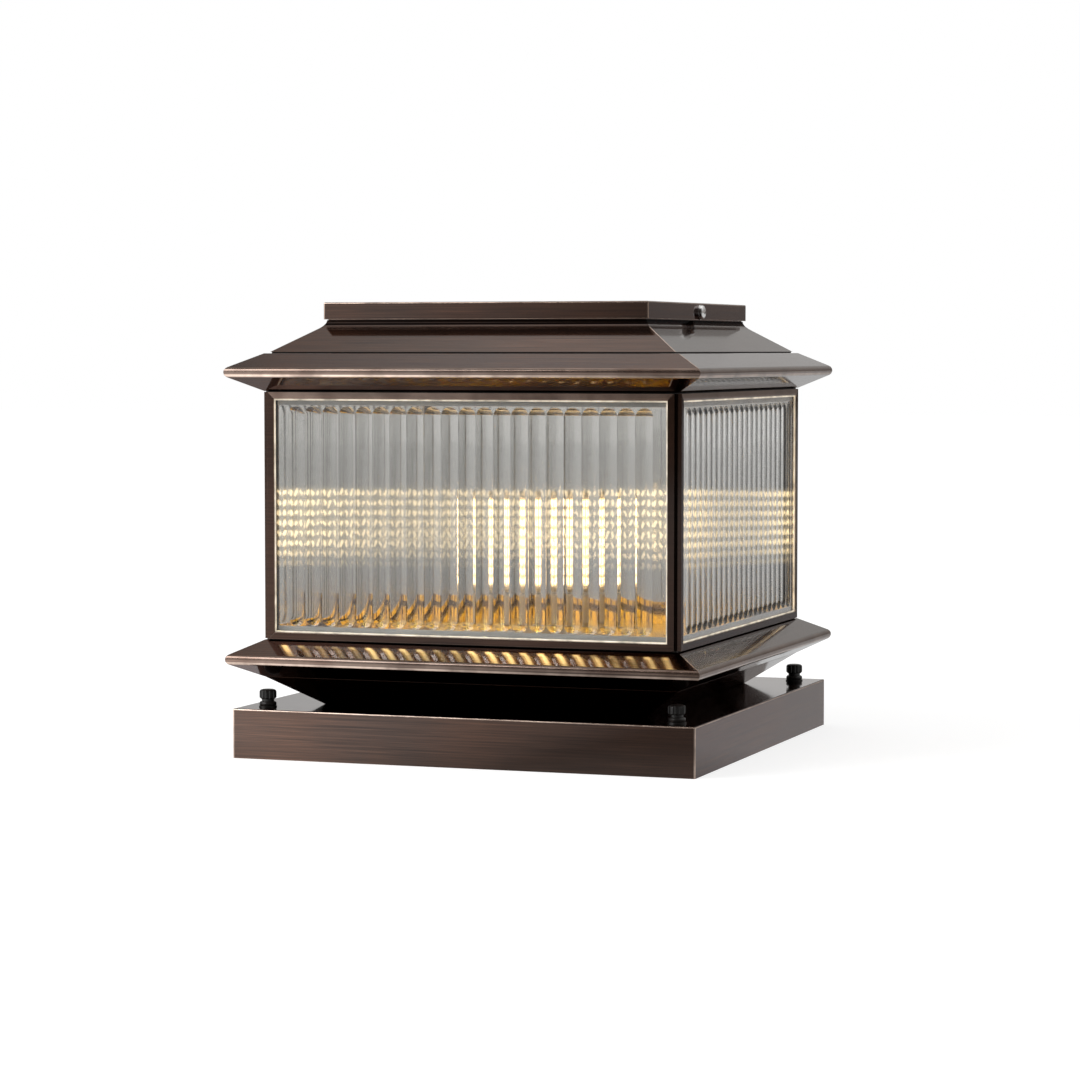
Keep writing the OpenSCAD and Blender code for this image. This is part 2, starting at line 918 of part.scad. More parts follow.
// Wire hole and screw hole at one end of a way, cut from the end face at y = 0
module terminal_way(low) {
    translate([0, -1, lead_z])
    rotate([-90, 0, 0])
    cylinder(r = lead_hole_r, h = wire_grip + 2, $fn = 32);
    translate([0, wire_grip - 2, low - 1])
    cylinder(r = 1.8, h = 2.5, $fn = 32);
}

// Rubber ring where the leads pass through the tray
module wire_grommet() {
    r = wire_hole / 2;
    color("black")
    difference() {
        union() {
            translate([0, 0, tray_under])
            cylinder(r = r + grommet_lip - touch, h = sheet, $fn = 48);
            translate([0, 0, tray_under - grommet_lip])
            cylinder(r = r + 2 * grommet_lip, h = grommet_lip, $fn = 48);
        }
        translate([0, 0, tray_under - 2 * grommet_lip])
        cylinder(r = r - 1, h = 4 * grommet_lip, $fn = 48);
    }
}

// Insulated lead that runs along -Y from the origin and then bends straight up
module lead(run, rise) {
    straight = run - lead_bend_r;
    rotate([90, 0, 0])
    cylinder(d = lead_d, h = straight + tiny, $fn = 24);
    translate([0, -straight, lead_bend_r])
    rotate([0, 90, 180])
    rotate_extrude(angle = 90, $fn = 48)
    translate([lead_bend_r, 0])
    circle(d = lead_d, $fn = 24);
    translate([0, -run, lead_bend_r - tiny])
    cylinder(d = lead_d, h = rise - lead_bend_r + tiny, $fn = 24);
}

module holder_lead(side) {
    translate([side * lead_spacing / 2, block_near + wire_grip, lead_z])
    lead(block_near + wire_grip, holder_web - touch - lead_z);
}

module live_lead() {
    color("sienna")
    holder_lead(1);
}

module neutral_lead() {
    color("royalblue")
    holder_lead(-1);
}

// Earth lead, with a ring lug that the earth screw holds against the tray
module earth_lead() {
    start = block_near + wire_grip;
    end = earth_lug_r + lead_d - earth_out;
    color("limegreen")
    translate([earth_x, start, lead_z])
    lead(start - end, tray_under - lug_t - lead_z + tiny);
    color("gold")
    difference() {
        union() {
            translate([earth_x, -earth_out, tray_under - lug_t])
            cylinder(r = earth_lug_r, h = lug_t, $fn = 48);
            translate([earth_x - lug_w / 2, -earth_out, tray_under - lug_t])
            cube([lug_w, end + earth_out + lead_d / 2, lug_t]);
        }
        translate([earth_x, -earth_out, tray_under - lug_t - 1])
        cylinder(r = tray_hole_r, h = lug_t + 2, $fn = 32);
    }
}

// Earth screw up through the lug and the tray
module earth_screw() {
    color("gold")
    translate([earth_x, -earth_out, tray_under - lug_t])
    mirror([0, 0, 1])
    pan_screw(tray_screw_d, lug_t + sheet + nut_t + 1, tray_head_d, tray_head_h);
}

// Nut of the earth screw, on the floor of the tray
module earth_nut() {
    color("gold")
    translate([earth_x, -earth_out, tray_floor])
    hex_nut(nut_af, tray_screw_d + 2 * run_play, nut_t);
}

// Driver board inside the lamp's neck, with its round capacitor
module lamp_board() {
    low = lamp_cap_z + lamp_cap_wall + loose;
    board_w = 18;
    board_t = 1.6;
    capacitor_r = 4;
    capacitor_h = 7;
    color("darkgreen") {
        translate([-board_w / 2, -board_t / 2, low])
        cube([board_w, board_t, column_z - low - 2]);
        translate([0, board_t / 2 - tiny, low + 2.4 * capacitor_r])
        rotate([-90, 0, 0])
        cylinder(r = capacitor_r, h = capacitor_h, $fn = 32);
    }
}

// Threaded metal cap of the lamp
module lamp_screw_cap() {
    r = lamp_cap_d / 2;
    shoulder = 1.5;
    color("gainsboro")
    rotate_extrude($fn = 96)
    polygon([
        [tip_r, lamp_cap_z],
        [r - shoulder, lamp_cap_z],
        [r, lamp_cap_z + shoulder],
        [r, housing_z],
        [cavity_r, housing_z],
        [cavity_r, lamp_cap_z + lamp_cap_wall],
        [tip_r, lamp_cap_z + lamp_cap_wall]
    ]);
}

// Insulated contact at the foot of the lamp
module lamp_tip() {
    top = lamp_cap_z + lamp_cap_wall;
    color("black")
    rotate_extrude($fn = 48)
    polygon([
        [0, lamp_z],
        [tip_r * 0.4, lamp_z],
        [tip_r * 0.75, lamp_z + tip_h / 3],
        [tip_r - touch, lamp_cap_z],
        [tip_r - touch, top],
        [0, top]
    ]);
}

// Plastic neck between the screw cap and the light column
module lamp_housing() {
    color("white")
    rotate_extrude($fn = 96)
    polygon([
        [cavity_r, housing_z],
        [lamp_cap_d / 2 + touch, housing_z],
        [column_r + 1, housing_z + housing_h * 0.65],
        [column_r + 1, column_z],
        [cavity_r, column_z]
    ]);
}

// Many-sided hollow column whose flat faces carry the light chips
module lamp_column() {
    column_wall = 1.6;
    color("white")
    translate([0, 0, column_z])
    difference() {
        rotate([0, 0, 180 / column_sides])
        cylinder(r = column_r, h = column_h, $fn = column_sides);
        translate([0, 0, -1])
        cylinder(r = column_af / 2 - column_wall, h = column_h + 2, $fn = 64);
    }
}

module lamp_chips() {
    row = column_h / chip_rows;
    chip_t = 0.7;
    color("khaki")
    for (side = [0:column_sides - 1], i = [0:chip_rows - 1]) {
        rotate([0, 0, 360 * side / column_sides])
        translate([column_af / 2, -chip_w / 2, column_z + row * (i + 0.5) - chip_len / 2])
        cube([chip_t, chip_w, chip_len]);
    }
}

// Lid of the lamp with a ring of cooling slots
module lamp_top() {
    r = column_r + 1;
    lid_h = 4;
    edge = 1.5;
    slots = 8;
    slot_w = 1.8;
    color("white")
    translate([0, 0, column_top])
    difference() {
        rotate_extrude($fn = 96)
        polygon([[0, 0], [r, 0], [r, lid_h - edge], [r - edge, lid_h], [0, lid_h]]);
        for (i = [0:slots - 1]) {
            rotate([0, 0, 360 * i / slots])
            translate([r * 0.45, -slot_w / 2, -1])
            cube([r * 0.3, slot_w, lid_h + 2]);
        }
    }
}

// Position of one of the four thumb screws, counted from the near right corner
module thumb_place(i) {
    rotate([0, 0, 90 * (i - 1)])
    translate([screw_at, -screw_at, 0])
    children();
}

module thumb_washer(i) {
    color("black")
    thumb_place(i)
    translate([0, 0, base_h])
    difference() {
        cylinder(d = knob_d + 0.6, h = washer_t, $fn = 48);
        translate([0, 0, -1])
        cylinder(r = stud_d / 2 + run_play, h = washer_t + 2, $fn = 48);
    }
}

// Black thumb screw: stud, collar, narrow neck and scalloped knob
module thumb_screw(i) {
    r = knob_d / 2;
    neck_top = screw_seat + collar_h + knob_neck_h;
    stud_low = screw_seat - washer_t - base_wall - loose - stud_grip;
    color("black")
    thumb_place(i)
    difference() {
        rotate_extrude($fn = 64)
        polygon([
            [0, stud_low],
            [stud_d / 2 - 0.8, stud_low],
            [stud_d / 2, stud_low + 0.8],
            [stud_d / 2, screw_seat],
            [r - 0.4, screw_seat],
            [r, screw_seat + 0.6],
            [r, screw_seat + collar_h - 0.8],
            [knob_neck_d / 2, screw_seat + collar_h],
            [knob_neck_d / 2, neck_top],
            [r - 0.9, neck_top],
            [r, neck_top + 0.9],
            [r, knob_top - 1.4],
            [r - 0.5, knob_top - 0.6],
            [r - 1.6, knob_top],
            [0, knob_top]
        ]);
        for (k = [0:scallops - 1]) {
            rotate([0, 0, 360 * k / scallops])
            translate([r + 0.25, 0, neck_top - 0.2])
            cylinder(r = 0.85, h = knob_h + 1, $fn = 24);
        }
    }
}

mounting_plate();
plate_pillars();
cable_grommet();
base_cover();
neck();
lower_eave();
frame_gaskets();
corner_post(0);  // corner_post_1
corner_post(90);  // corner_post_2
corner_post(180);  // corner_post_3
corner_post(270);  // corner_post_4
bottom_rails();
top_rails();
corner_beads();
glass_pane(0);  // glass_front
glass_pane(90);  // glass_right
glass_pane(180);  // glass_back
glass_pane(270);  // glass_left
pane_seals();
upper_eave();
roof();
roof_collar();
floor_tray();
tray_screws();
tray_nuts();
holder_bracket();
holder_screws();
holder_body();
holder_shell();
holder_contact();
terminal_block();
wire_grommet();
live_lead();
neutral_lead();
earth_lead();
earth_screw();
earth_nut();
lamp_board();
lamp_screw_cap();
lamp_tip();
lamp_housing();
lamp_column();
lamp_chips();
lamp_top();
cap();
cap_foam();
cap_nuts();
cap_washer(0);  // cap_washer_right
cap_washer(180);  // cap_washer_left
cap_screw(0);  // cap_screw_right
cap_screw(180);  // cap_screw_left
thumb_washer(1);  // thumb_washer_1
thumb_washer(2);  // thumb_washer_2
thumb_washer(3);  // thumb_washer_3
thumb_washer(4);  // thumb_washer_4
thumb_screw(1);  // thumb_screw_1
thumb_screw(2);  // thumb_screw_2
thumb_screw(3);  // thumb_screw_3
thumb_screw(4);  // thumb_screw_4
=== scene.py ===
"""Looks of a square pillar light with fluted panes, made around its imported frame.

It adds a detailed piece for each part that shows, gives every part its finish, and sets up
the studio and the camera. Everything is in metres. The places come from the frame's own boxes.
"""

import json
import math

import bmesh
import bpy
from mathutils import Matrix, Vector

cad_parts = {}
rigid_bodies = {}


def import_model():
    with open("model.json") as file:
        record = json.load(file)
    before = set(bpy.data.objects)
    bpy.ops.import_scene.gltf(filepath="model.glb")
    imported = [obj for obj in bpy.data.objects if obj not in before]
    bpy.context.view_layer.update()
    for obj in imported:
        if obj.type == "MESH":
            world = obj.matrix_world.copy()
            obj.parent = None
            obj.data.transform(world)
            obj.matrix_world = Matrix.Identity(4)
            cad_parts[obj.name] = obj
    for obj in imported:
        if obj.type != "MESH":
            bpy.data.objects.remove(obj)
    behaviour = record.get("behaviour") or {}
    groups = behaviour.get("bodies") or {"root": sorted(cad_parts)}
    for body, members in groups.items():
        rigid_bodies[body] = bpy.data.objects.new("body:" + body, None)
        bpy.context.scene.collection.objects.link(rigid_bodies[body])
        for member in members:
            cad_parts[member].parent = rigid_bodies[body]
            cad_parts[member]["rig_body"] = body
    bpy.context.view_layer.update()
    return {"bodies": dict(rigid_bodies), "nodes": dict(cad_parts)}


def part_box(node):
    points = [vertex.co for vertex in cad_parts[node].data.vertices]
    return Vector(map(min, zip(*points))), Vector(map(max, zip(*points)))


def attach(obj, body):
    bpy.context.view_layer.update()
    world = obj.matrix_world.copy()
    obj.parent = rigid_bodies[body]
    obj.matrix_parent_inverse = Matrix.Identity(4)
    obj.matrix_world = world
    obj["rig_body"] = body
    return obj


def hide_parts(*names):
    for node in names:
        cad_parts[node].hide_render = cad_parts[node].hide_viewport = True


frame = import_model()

bl_info = {
    "name": "Pillar light",
    "version": (1, 0, 0),
    "blender": (4, 5, 0),
    "location": "View3D > Sidebar > Pillar light",
    "description": "Makes the visible pieces and finishes of a square pillar light",
    "category": "Object",
}

MM = 0.001
NEAR = 0.2 * MM
WHOLE_TURN = 2 * math.pi
DOUBLES = 0.000004
MAIN_FACE = 0.0006
MAIN_TURN = math.radians(7)
SIDES = ("front", "right", "back", "left")

FINISHES = {
    "antique_bronze": "brushed_bronze",
    "plate_steel": "zinc_plating",
    "stainless": "bright_stainless",
    "black_plastic": "moulded_black",
    "black_rubber": "soft_rubber",
    "grey_rubber": "seal_rubber",
    "clear_glass": "pressed_glass",
    "gold_tray": "gold_floor",
    "ceramic_ivory": "glazed_ceramic",
    "contact_brass": "turned_brass",
    "white_plastic": "white_shell",
    "brown_wire": "brown_sleeve",
    "blue_wire": "blue_sleeve",
    "green_wire": "green_sleeve",
    "board_green": "coated_board",
    "lamp_nickel": "nickel_plating",
    "chip_yellow": "lit_phosphor",
}


def low(node):
    """Lowest corner of a frame node."""
    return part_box(node)[0]


def high(node):
    """Highest corner of a frame node."""
    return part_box(node)[1]


def half_widths(node, height):
    """Least and greatest half width of a frame node at a height."""
    spots = [v.co for v in frame["nodes"][node].data.vertices if abs(v.co.z - height) < NEAR]
    return min(max(abs(p.x), abs(p.y)) for p in spots), max(abs(p.x) for p in spots)


def colour_property(name, description, default):
    """A colour that a user may change."""
    return bpy.props.FloatVectorProperty(
        name=name, description=description, subtype="COLOR", size=3, min=0, max=1, default=default
    )


def length_property(name, description, default):
    """A length in metres that a user may change."""
    return bpy.props.FloatProperty(
        name=name, description=description, unit="LENGTH", precision=5, min=0, default=default
    )


def share_property(name, description, default):
    """A share from 0 to 1 that a user may change."""
    return bpy.props.FloatProperty(
        name=name, description=description, subtype="FACTOR", min=0, max=1, default=default
    )


def amount_property(name, description, default, subtype="NONE"):
    """A brightness, a power or an angle that a user may change."""
    return bpy.props.FloatProperty(
        name=name, description=description, subtype=subtype, min=0, default=default
    )


def place_property(name, description, default, subtype):
    """A place or a direction that a user may change."""
    return bpy.props.FloatVectorProperty(
        name=name, description=description, subtype=subtype, size=3, default=default
    )


def count_property(name, description, default):
    """A number of equal shapes that a user may change."""
    return bpy.props.IntProperty(name=name, description=description, min=1, default=default)


class BronzeSettings(bpy.types.PropertyGroup):
    """Colours and strokes of the brushed bronze sheet."""

    body: colour_property("Bronze", "Colour of the brushed sheet", (0.090, 0.048, 0.032))
    # Rubbed wear and painted highlight: pale colour of the narrow faces along folds and edges.
    edge: colour_property("Rubbed edge", "Colour of bright rubbed edges", (0.90, 0.70, 0.58))
    graze: colour_property("Flat view", "Colour seen at a flat angle", (0.36, 0.32, 0.30))
    rough: share_property("Roughness", "Roughness of the brushed sheet", 0.17)
    lacquer: share_property("Lacquer", "Strength of the clear lacquer", 0.90)
    stroke_w: length_property("Stroke width", "Width of one brush stroke", 0.0004)
    stroke_l: length_property("Stroke length", "Length of one brush stroke", 0.045)
    edge_r: length_property("Edge radius", "Radius of the sheet's folded edges", 0.00035)
    # Widest face that gets the pale edge colour of rubbed wear and painted highlight.
    narrow_face_w: length_property("Rubbed width", "Widest face that counts as an edge", 0.0015)
    sheet: length_property("Sheet", "Thickness of the folded sheet", 0.001)
    nose_r: length_property("Nose radius", "Radius of the eaves' rounded nose", 0.0036)


class GlassSettings(bpy.types.PropertyGroup):
    """Shape, tint, painted dark flute lines and painted lamp glints of the fluted panes."""

    tint: colour_property("Tint", "Share of light that passes a pane", (0.68, 0.675, 0.655))
    haze: share_property("Haze", "Roughness of the fine grit in the pressed glass", 0.22)
    # Painted shade: share of the tint left along the flutes' steep edges.
    line: share_property("Dark line", "Share of light that passes the flutes' edges", 0.12)
    flutes: count_property("Flutes", "Number of flutes on a pane", 21)
    side: length_property("Side margin", "Plain glass beside the flutes", 0.009)
    end: length_property("End margin", "Plain glass above and below the flutes", 0.0043)
    land: length_property("Land", "Flat glass between two flutes", 0.00025)
    depth: length_property("Depth", "Depth of a flute", 0.0015)
    bite: length_property("Bite", "Edge of the pane that the frame hides", 0.0019)
    # Painted glints: warm spots painted on the panes' inner faces for the lamp's chips seen in the
    # flutes; their colour, strength and rows.
    spots: colour_property("Light spots", "Colour of the light in the flutes", (1.0, 0.77, 0.42))
    painted_glint_strength: amount_property("Spot strength", "Brightness of the light spots", 1.0)
    spot_top: length_property("Top row", "Height of the uppermost row of light spots", 0.157)
    spot_row: length_property("Row pitch", "Height from one row of spots to the next", 0.0062)
    # Painted reflection: colour and strength of the warm streaks painted on the flutes' feet, which
    # only the eaves mirror.
    feet: colour_property("Foot light", "Colour of the flutes' lit feet", (1.0, 0.86, 0.36))
    painted_foot_glint: amount_property("Foot strength", "Brightness of the feet in the eaves", 12.0)


class LampSettings(bpy.types.PropertyGroup):
    """Light of the lamp, and the shape of its screw cap."""

    glow: colour_property("Glow", "Colour of the lit chips", (1.0, 0.72, 0.38))
    chip_power: amount_property("Chip strength", "Brightness of the lit chips", 14.0)
    # Painted glow of the white column round the chips.
    column_painted_glow: amount_property("Column strength", "Brightness round the chips", 0.5)
    room_power: amount_property("Light inside", "Power of each side of the lamp", 0.30, "POWER")
    cap_wall: length_property("Cap wall", "Thickness of the screw cap", 0.001)
    cap_pitch: length_property("Cap pitch", "Pitch of the screw cap's thread", 0.00363)
    cap_wave: length_property("Cap wave", "Depth of the screw cap's thread", 0.0009)


class BeadSettings(bpy.types.PropertyGroup):
    """Sealant bead round the panes, and the tape behind their plain edges."""

    width: length_property("Width", "Width of the bead on the pane", 0.0010)
    height: length_property("Height", "Height of the bead off the pane", 0.0008)
    tape: length_property("Tape", "Thickness of the tape behind the pane", 0.0003)


class ScrewSettings(bpy.types.PropertyGroup):
    """Sizes of the thumb screws and the cap screws."""

    stud_d: length_property("Stud", "Diameter of the thumb screw's stud", 0.006)
    collar_h: length_property("Collar", "Height of the thumb screw's collar", 0.0028)
    neck_d: length_property("Neck", "Diameter of the neck under the knob", 0.0076)
    neck_h: length_property("Neck height", "Height of the neck under the knob", 0.0014)
    scallops: count_property("Scallops", "Scallops round the knob", 12)
    cap_d: length_property("Cap screw", "Diameter of the cap screw's shank", 0.004)


class StudioSettings(bpy.types.PropertyGroup):
    """Background, lights and camera."""

    background: colour_property("Background", "Colour of the floor and backdrop", (1.0, 1.0, 1.0))
    room: colour_property("Room", "Colour of the room behind the camera", (0.07, 0.065, 0.062))
    horizon: colour_property("Horizon", "Colour of the walls at table height", (0.25, 0.225, 0.21))
    wall: colour_property("Wall", "Colour of the walls above the table", (0.52, 0.52, 0.51))
    ceiling: colour_property("Ceiling", "Colour of the ceiling", (0.95, 0.95, 0.94))
    box_light: amount_property("Soft box", "Brightness of the soft box in the metal", 1.4)
    box_way: place_property(
        "Soft box direction", "Where the soft box stands", (-0.70, -0.70, 0.10), "DIRECTION"
    )
    view_way: place_property(
        "View direction", "Middle of the white backdrop", (-0.335, 0.940, -0.058), "DIRECTION"
    )
    fill: share_property("Fill", "Brightness of the even light from all sides", 0.62)
    key_power: amount_property("Key light", "Power of the light at the upper left", 26.0, "POWER")
    clamp: amount_property("Clamp", "Brightest share that one light path may add", 50.0)
    camera_at: place_property(
        "Camera", "Where the camera stands", (0.69265, -1.94669, 0.24788), "TRANSLATION"
    )
    camera_yaw: amount_property("Yaw", "Camera's turn to the left", math.radians(19.606), "ANGLE")
    camera_dip: amount_property("Dip", "Camera's tilt downwards", math.radians(3.337), "ANGLE")
    camera_lens: amount_property("Lens", "Focal length in mm on a 36 mm sensor", 109.175)


class PillarLightSettings(bpy.types.PropertyGroup):
    """All settings of the pillar light."""

    bronze: bpy.props.PointerProperty(type=BronzeSettings)
    glass: bpy.props.PointerProperty(type=GlassSettings)
    lamp: bpy.props.PointerProperty(type=LampSettings)
    bead: bpy.props.PointerProperty(type=BeadSettings)
    screws: bpy.props.PointerProperty(type=ScrewSettings)
    studio: bpy.props.PointerProperty(type=StudioSettings)


def settings():
    """The pillar light's settings in this scene."""
    return bpy.context.scene.pillar_light


def deselect():
    """Leave edit mode and select nothing."""
    if bpy.context.mode != "OBJECT":
        bpy.ops.object.mode_set(mode="OBJECT")
    bpy.ops.object.select_all(action="DESELECT")


def activate(*pieces):
    """Select only these pieces, the first one active."""
    deselect()
    for piece in pieces:
        piece.select_set(True)
    bpy.context.view_layer.objects.active = pieces[0]


def edit(piece):
    """Enter edit mode on one piece."""
    activate(piece)
    bpy.ops.object.mode_set(mode="EDIT")


def primitive(name, add, **options):
    """A new primitive with its place in its mesh."""
    deselect()
    add(**options)
    piece = bpy.context.active_object
    piece.name = name
    piece.data.name = name
    bpy.ops.object.transform_apply(location=True, rotation=True, scale=True)
    return piece


def select_faces(test):
    """In edit mode, select only the faces that pass a test."""
    bpy.ops.mesh.select_mode(type="FACE")
    bpy.ops.mesh.select_all(action="DESELECT")
    mesh = bpy.context.edit_object.data
    for face in bmesh.from_edit_mesh(mesh).faces:
        if test(face):
            face.select_set(True)
    bmesh.update_edit_mesh(mesh)


def clean(piece):
    """Merge doubled points and turn the faces outwards."""
    edit(piece)
    bpy.ops.mesh.select_all(action="SELECT")
    bpy.ops.mesh.remove_doubles(threshold=DOUBLES)
    bpy.ops.mesh.normals_make_consistent(inside=False)
    bpy.ops.object.mode_set(mode="OBJECT")


def modify(piece, kind, **values):
    """Add one modifier and apply it."""
    activate(piece)
    bpy.ops.object.modifier_add(type=kind)
    modifier = piece.modifiers[-1]
    for name, value in values.items():
        setattr(modifier, name, value)
    bpy.ops.object.modifier_apply(modifier=modifier.name)


def soften(piece, width, segments=3, degrees=25):
    """Round every sharp edge of a piece."""
    modify(
        piece, "BEVEL", width=width, segments=segments, limit_method="ANGLE",
        angle_limit=math.radians(degrees), harden_normals=False
    )


def smooth(piece, degrees=40):
    """Shade smooth up to an angle, with flat faces kept flat."""
    activate(piece)
    bpy.ops.object.shade_smooth_by_angle(angle=math.radians(degrees))
    modify(piece, "WEIGHTED_NORMAL", keep_sharp=True)


def cut(piece, tool):
    """Cut a tool's shape out of a piece, and remove the tool."""
    modify(piece, "BOOLEAN", operation="DIFFERENCE", solver="EXACT", object=tool)
    bpy.data.objects.remove(tool)


def join(*pieces):
    """Make one piece of several."""
    activate(*pieces)
    bpy.ops.object.join()
    return pieces[0]


def copied(piece, name, matrix):
    """A copy of a piece with a mesh of its own, moved in its mesh."""
    copy = piece.copy()
    copy.data = piece.data.copy()
    copy.name = name
    copy.data.name = name
    copy.data.transform(matrix)
    bpy.context.scene.collection.objects.link(copy)
    return copy


def drawn_line(name, points):
    """A line drawn out point by point from a plane that is merged to one point."""
    line = primitive(name, bpy.ops.mesh.primitive_plane_add, size=MM)
    edit(line)
    bpy.ops.mesh.select_mode(type="VERT")
    bpy.ops.mesh.select_all(action="SELECT")
    bpy.ops.mesh.merge(type="CENTER")
    here = Vector((0, 0, 0))
    for i, point in enumerate(points):
        move = Vector(point) - here
        if i == 0:
            bpy.ops.transform.translate(value=move)
        else:
            bpy.ops.mesh.extrude_vertices_move(TRANSFORM_OT_translate={"value": move})
        here = Vector(point)
    bpy.ops.object.mode_set(mode="OBJECT")
    return line


def spun(name, points, steps):
    """A drawn line turned once round the upright axis."""
    piece = drawn_line(name, points)
    edit(piece)
    bpy.ops.mesh.select_all(action="SELECT")
    bpy.ops.mesh.spin(steps=steps, angle=WHOLE_TURN, center=(0, 0, 0), axis=(0, 0, 1))
    bpy.ops.object.mode_set(mode="OBJECT")
    clean(piece)
    return piece


def turned(name, outline, steps=64):
    """A round piece from an outline of radius and height."""
    return spun(name, [(r, 0, z) for r, z in outline], steps)


def quarter_copies(piece, names):
    """Copies of a piece, each a quarter turn further round the upright axis."""
    return [
        copied(piece, name, Matrix.Rotation(i * WHOLE_TURN / 4, 4, "Z"))
        for i, name in enumerate(names, 1)
    ]


def square_ring(name, section):
    """Four mitred panels as one folded ring, from a section of half width and height."""
    return spun(name, [(r, -r, z) for r, z in section + section[:1]], 4)


def merged_copy(node, name):
    """A copy of a frame node with its loose triangles merged into whole faces."""
    piece = bpy.data.objects.new(name, frame["nodes"][node].data.copy())
    piece.data.name = name
    bpy.context.scene.collection.objects.link(piece)
    edit(piece)
    bpy.ops.mesh.select_all(action="SELECT")
    bpy.ops.mesh.remove_doubles(threshold=DOUBLES)
    bpy.ops.mesh.dissolve_limited(angle_limit=math.radians(1))
    bpy.ops.object.mode_set(mode="OBJECT")
    piece.data.materials.clear()
    return piece


def finish_narrow_faces(piece, finish, test):
    """Give the narrow faces along the folds and edges that pass a test another finish: rubbed wear
    with a painted highlight, or a painted shadow.
    """
    piece.data.materials.append(bpy.data.materials[finish])
    faces = piece.data.polygons
    main = {tuple(round(c, 2) for c in face.normal) for face in faces if face.area > MAIN_FACE}
    main = [Vector(normal).normalized() for normal in main]
    limit = math.cos(MAIN_TURN)
    for face in faces:
        corners = [piece.data.vertices[i].co for i in face.vertices]
        longest = max((a - b).length for a, b in zip(corners, corners[1:] + corners[:1]))
        narrow = face.area < longest * settings().bronze.narrow_face_w
        if narrow and test(face) and all(face.normal.dot(normal) < limit for normal in main):
            face.material_index = len(piece.data.materials) - 1


def hang(piece, node, slot):
    """Let a finished piece stand for a frame node and move with its body."""
    piece.data.materials.clear()
    piece.data.materials.append(bpy.data.materials[FINISHES[slot]])
    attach(piece, frame["nodes"][node]["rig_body"])
    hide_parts(node)


class Nodes:
    """A node tree with short ways to add and join nodes."""

    def __init__(self, tree):
        self.tree = tree

    def add(self, kind, inputs=(), **values):
        """A node with its properties set and its inputs joined or set."""
        node = self.tree.nodes.new(kind)
        for name, value in values.items():
            setattr(node, name, value)
        for key, value in dict(inputs).items():
            self.join(value, node.inputs[key])
        return node

    def join(self, value, socket):
        """Join an output to a socket, or set the socket's value."""
        if isinstance(value, bpy.types.NodeSocket):
            self.tree.links.new(value, socket)
        else:
            socket.default_value = value

    def math(self, operation, *values):
        """The result of one sum on plain values."""
        return self.add("ShaderNodeMath", dict(enumerate(values)), operation=operation).outputs[0]

    def times(self, value, *others):
        """The product of some values."""
        for other in others:
            value = self.math("MULTIPLY", value, other)
        return value

    def plus(self, value, *others):
        """The sum of some values."""
        for other in others:
            value = self.math("ADD", value, other)
        return value

    def minus(self, value, other):
        """The difference of two values."""
        return self.math("SUBTRACT", value, other)

    def size(self, value):
        """A value without its sign."""
        return self.math("ABSOLUTE", value)

    def larger(self, value, other):
        """The larger of two values."""
        return self.math("MAXIMUM", value, other)

    def either(self, share, first, second):
        """Two plain values mixed."""
        return self.add("ShaderNodeMix", {0: share, 2: first, 3: second}).outputs[0]

    def spot(self):
        """The point on the piece, in metres."""
        return self.add("ShaderNodeTexCoord").outputs["Object"]

    def parts(self, vector):
        """The three parts of a vector."""
        return self.add("ShaderNodeSeparateXYZ", {0: vector}).outputs

    def vector(self, x, y, z):
        """A vector from three values."""
        return self.add("ShaderNodeCombineXYZ", {0: x, 1: y, 2: z}).outputs[0]

    def noise(self, vector, scale, detail, rough):
        """Soft noise from 0 to 1."""
        inputs = {"Vector": vector, "Scale": scale, "Detail": detail, "Roughness": rough}
        return self.add("ShaderNodeTexNoise", inputs).outputs["Fac"]

    def ramp(self, value, *stops):
        """A value put through colour stops of place and colour."""
        node = self.add("ShaderNodeValToRGB", {0: value})
        stop = node.color_ramp.elements
        while len(stop) < len(stops):
            stop.new(0.5)
        for element, (place, colour) in zip(stop, stops):
            element.position = place
            element.color = (*colour, 1)
        return node.outputs["Color"]

    def between(self, value, low_in, high_in, low_out, high_out):
        """A value moved from one range to another."""
        inputs = {0: value, 1: low_in, 2: high_in, 3: low_out, 4: high_out}
        return self.add("ShaderNodeMapRange", inputs).outputs[0]

    def mix(self, share, first, second, blend="MIX"):
        """Two colours mixed."""
        node = self.add("ShaderNodeMix", {0: share}, data_type="RGBA", blend_type=blend)
        self.join(first, node.inputs[6])
        self.join(second, node.inputs[7])
        return node.outputs[2]

    def bump(self, height, strength, distance):
        """A normal from a height."""
        inputs = {"Height": height, "Strength": strength, "Distance": distance}
        return self.add("ShaderNodeBump", inputs).outputs["Normal"]


class Finish(Nodes):
    """A node material round one shader."""

    def __init__(self, name):
        self.material = bpy.data.materials.new(name)
        self.material.use_nodes = True
        super().__init__(self.material.node_tree)
        self.shader = self.tree.nodes["Principled BSDF"]
        self.output = self.tree.nodes["Material Output"]

    def set(self, **values):
        """Set or join the shader's inputs, with underscores for spaces."""
        for name, value in values.items():
            self.join(value, self.shader.inputs[name.replace("_", " ")])

    def shine(self, colour, strength):
        """Let the surface give light without being sampled as a lamp."""
        self.set(Emission_Color=colour, Emission_Strength=strength)
        self.material.cycles.emission_sampling = "NONE"

    def end_with(self, share, first, second):
        """Send a mix of two shaders to the output."""
        both = self.add("ShaderNodeMixShader", {0: share, 1: first, 2: second})
        self.join(both.outputs[0], self.output.inputs[0])


def rgba(colour):
    """A colour with full alpha."""
    return (*colour, 1)


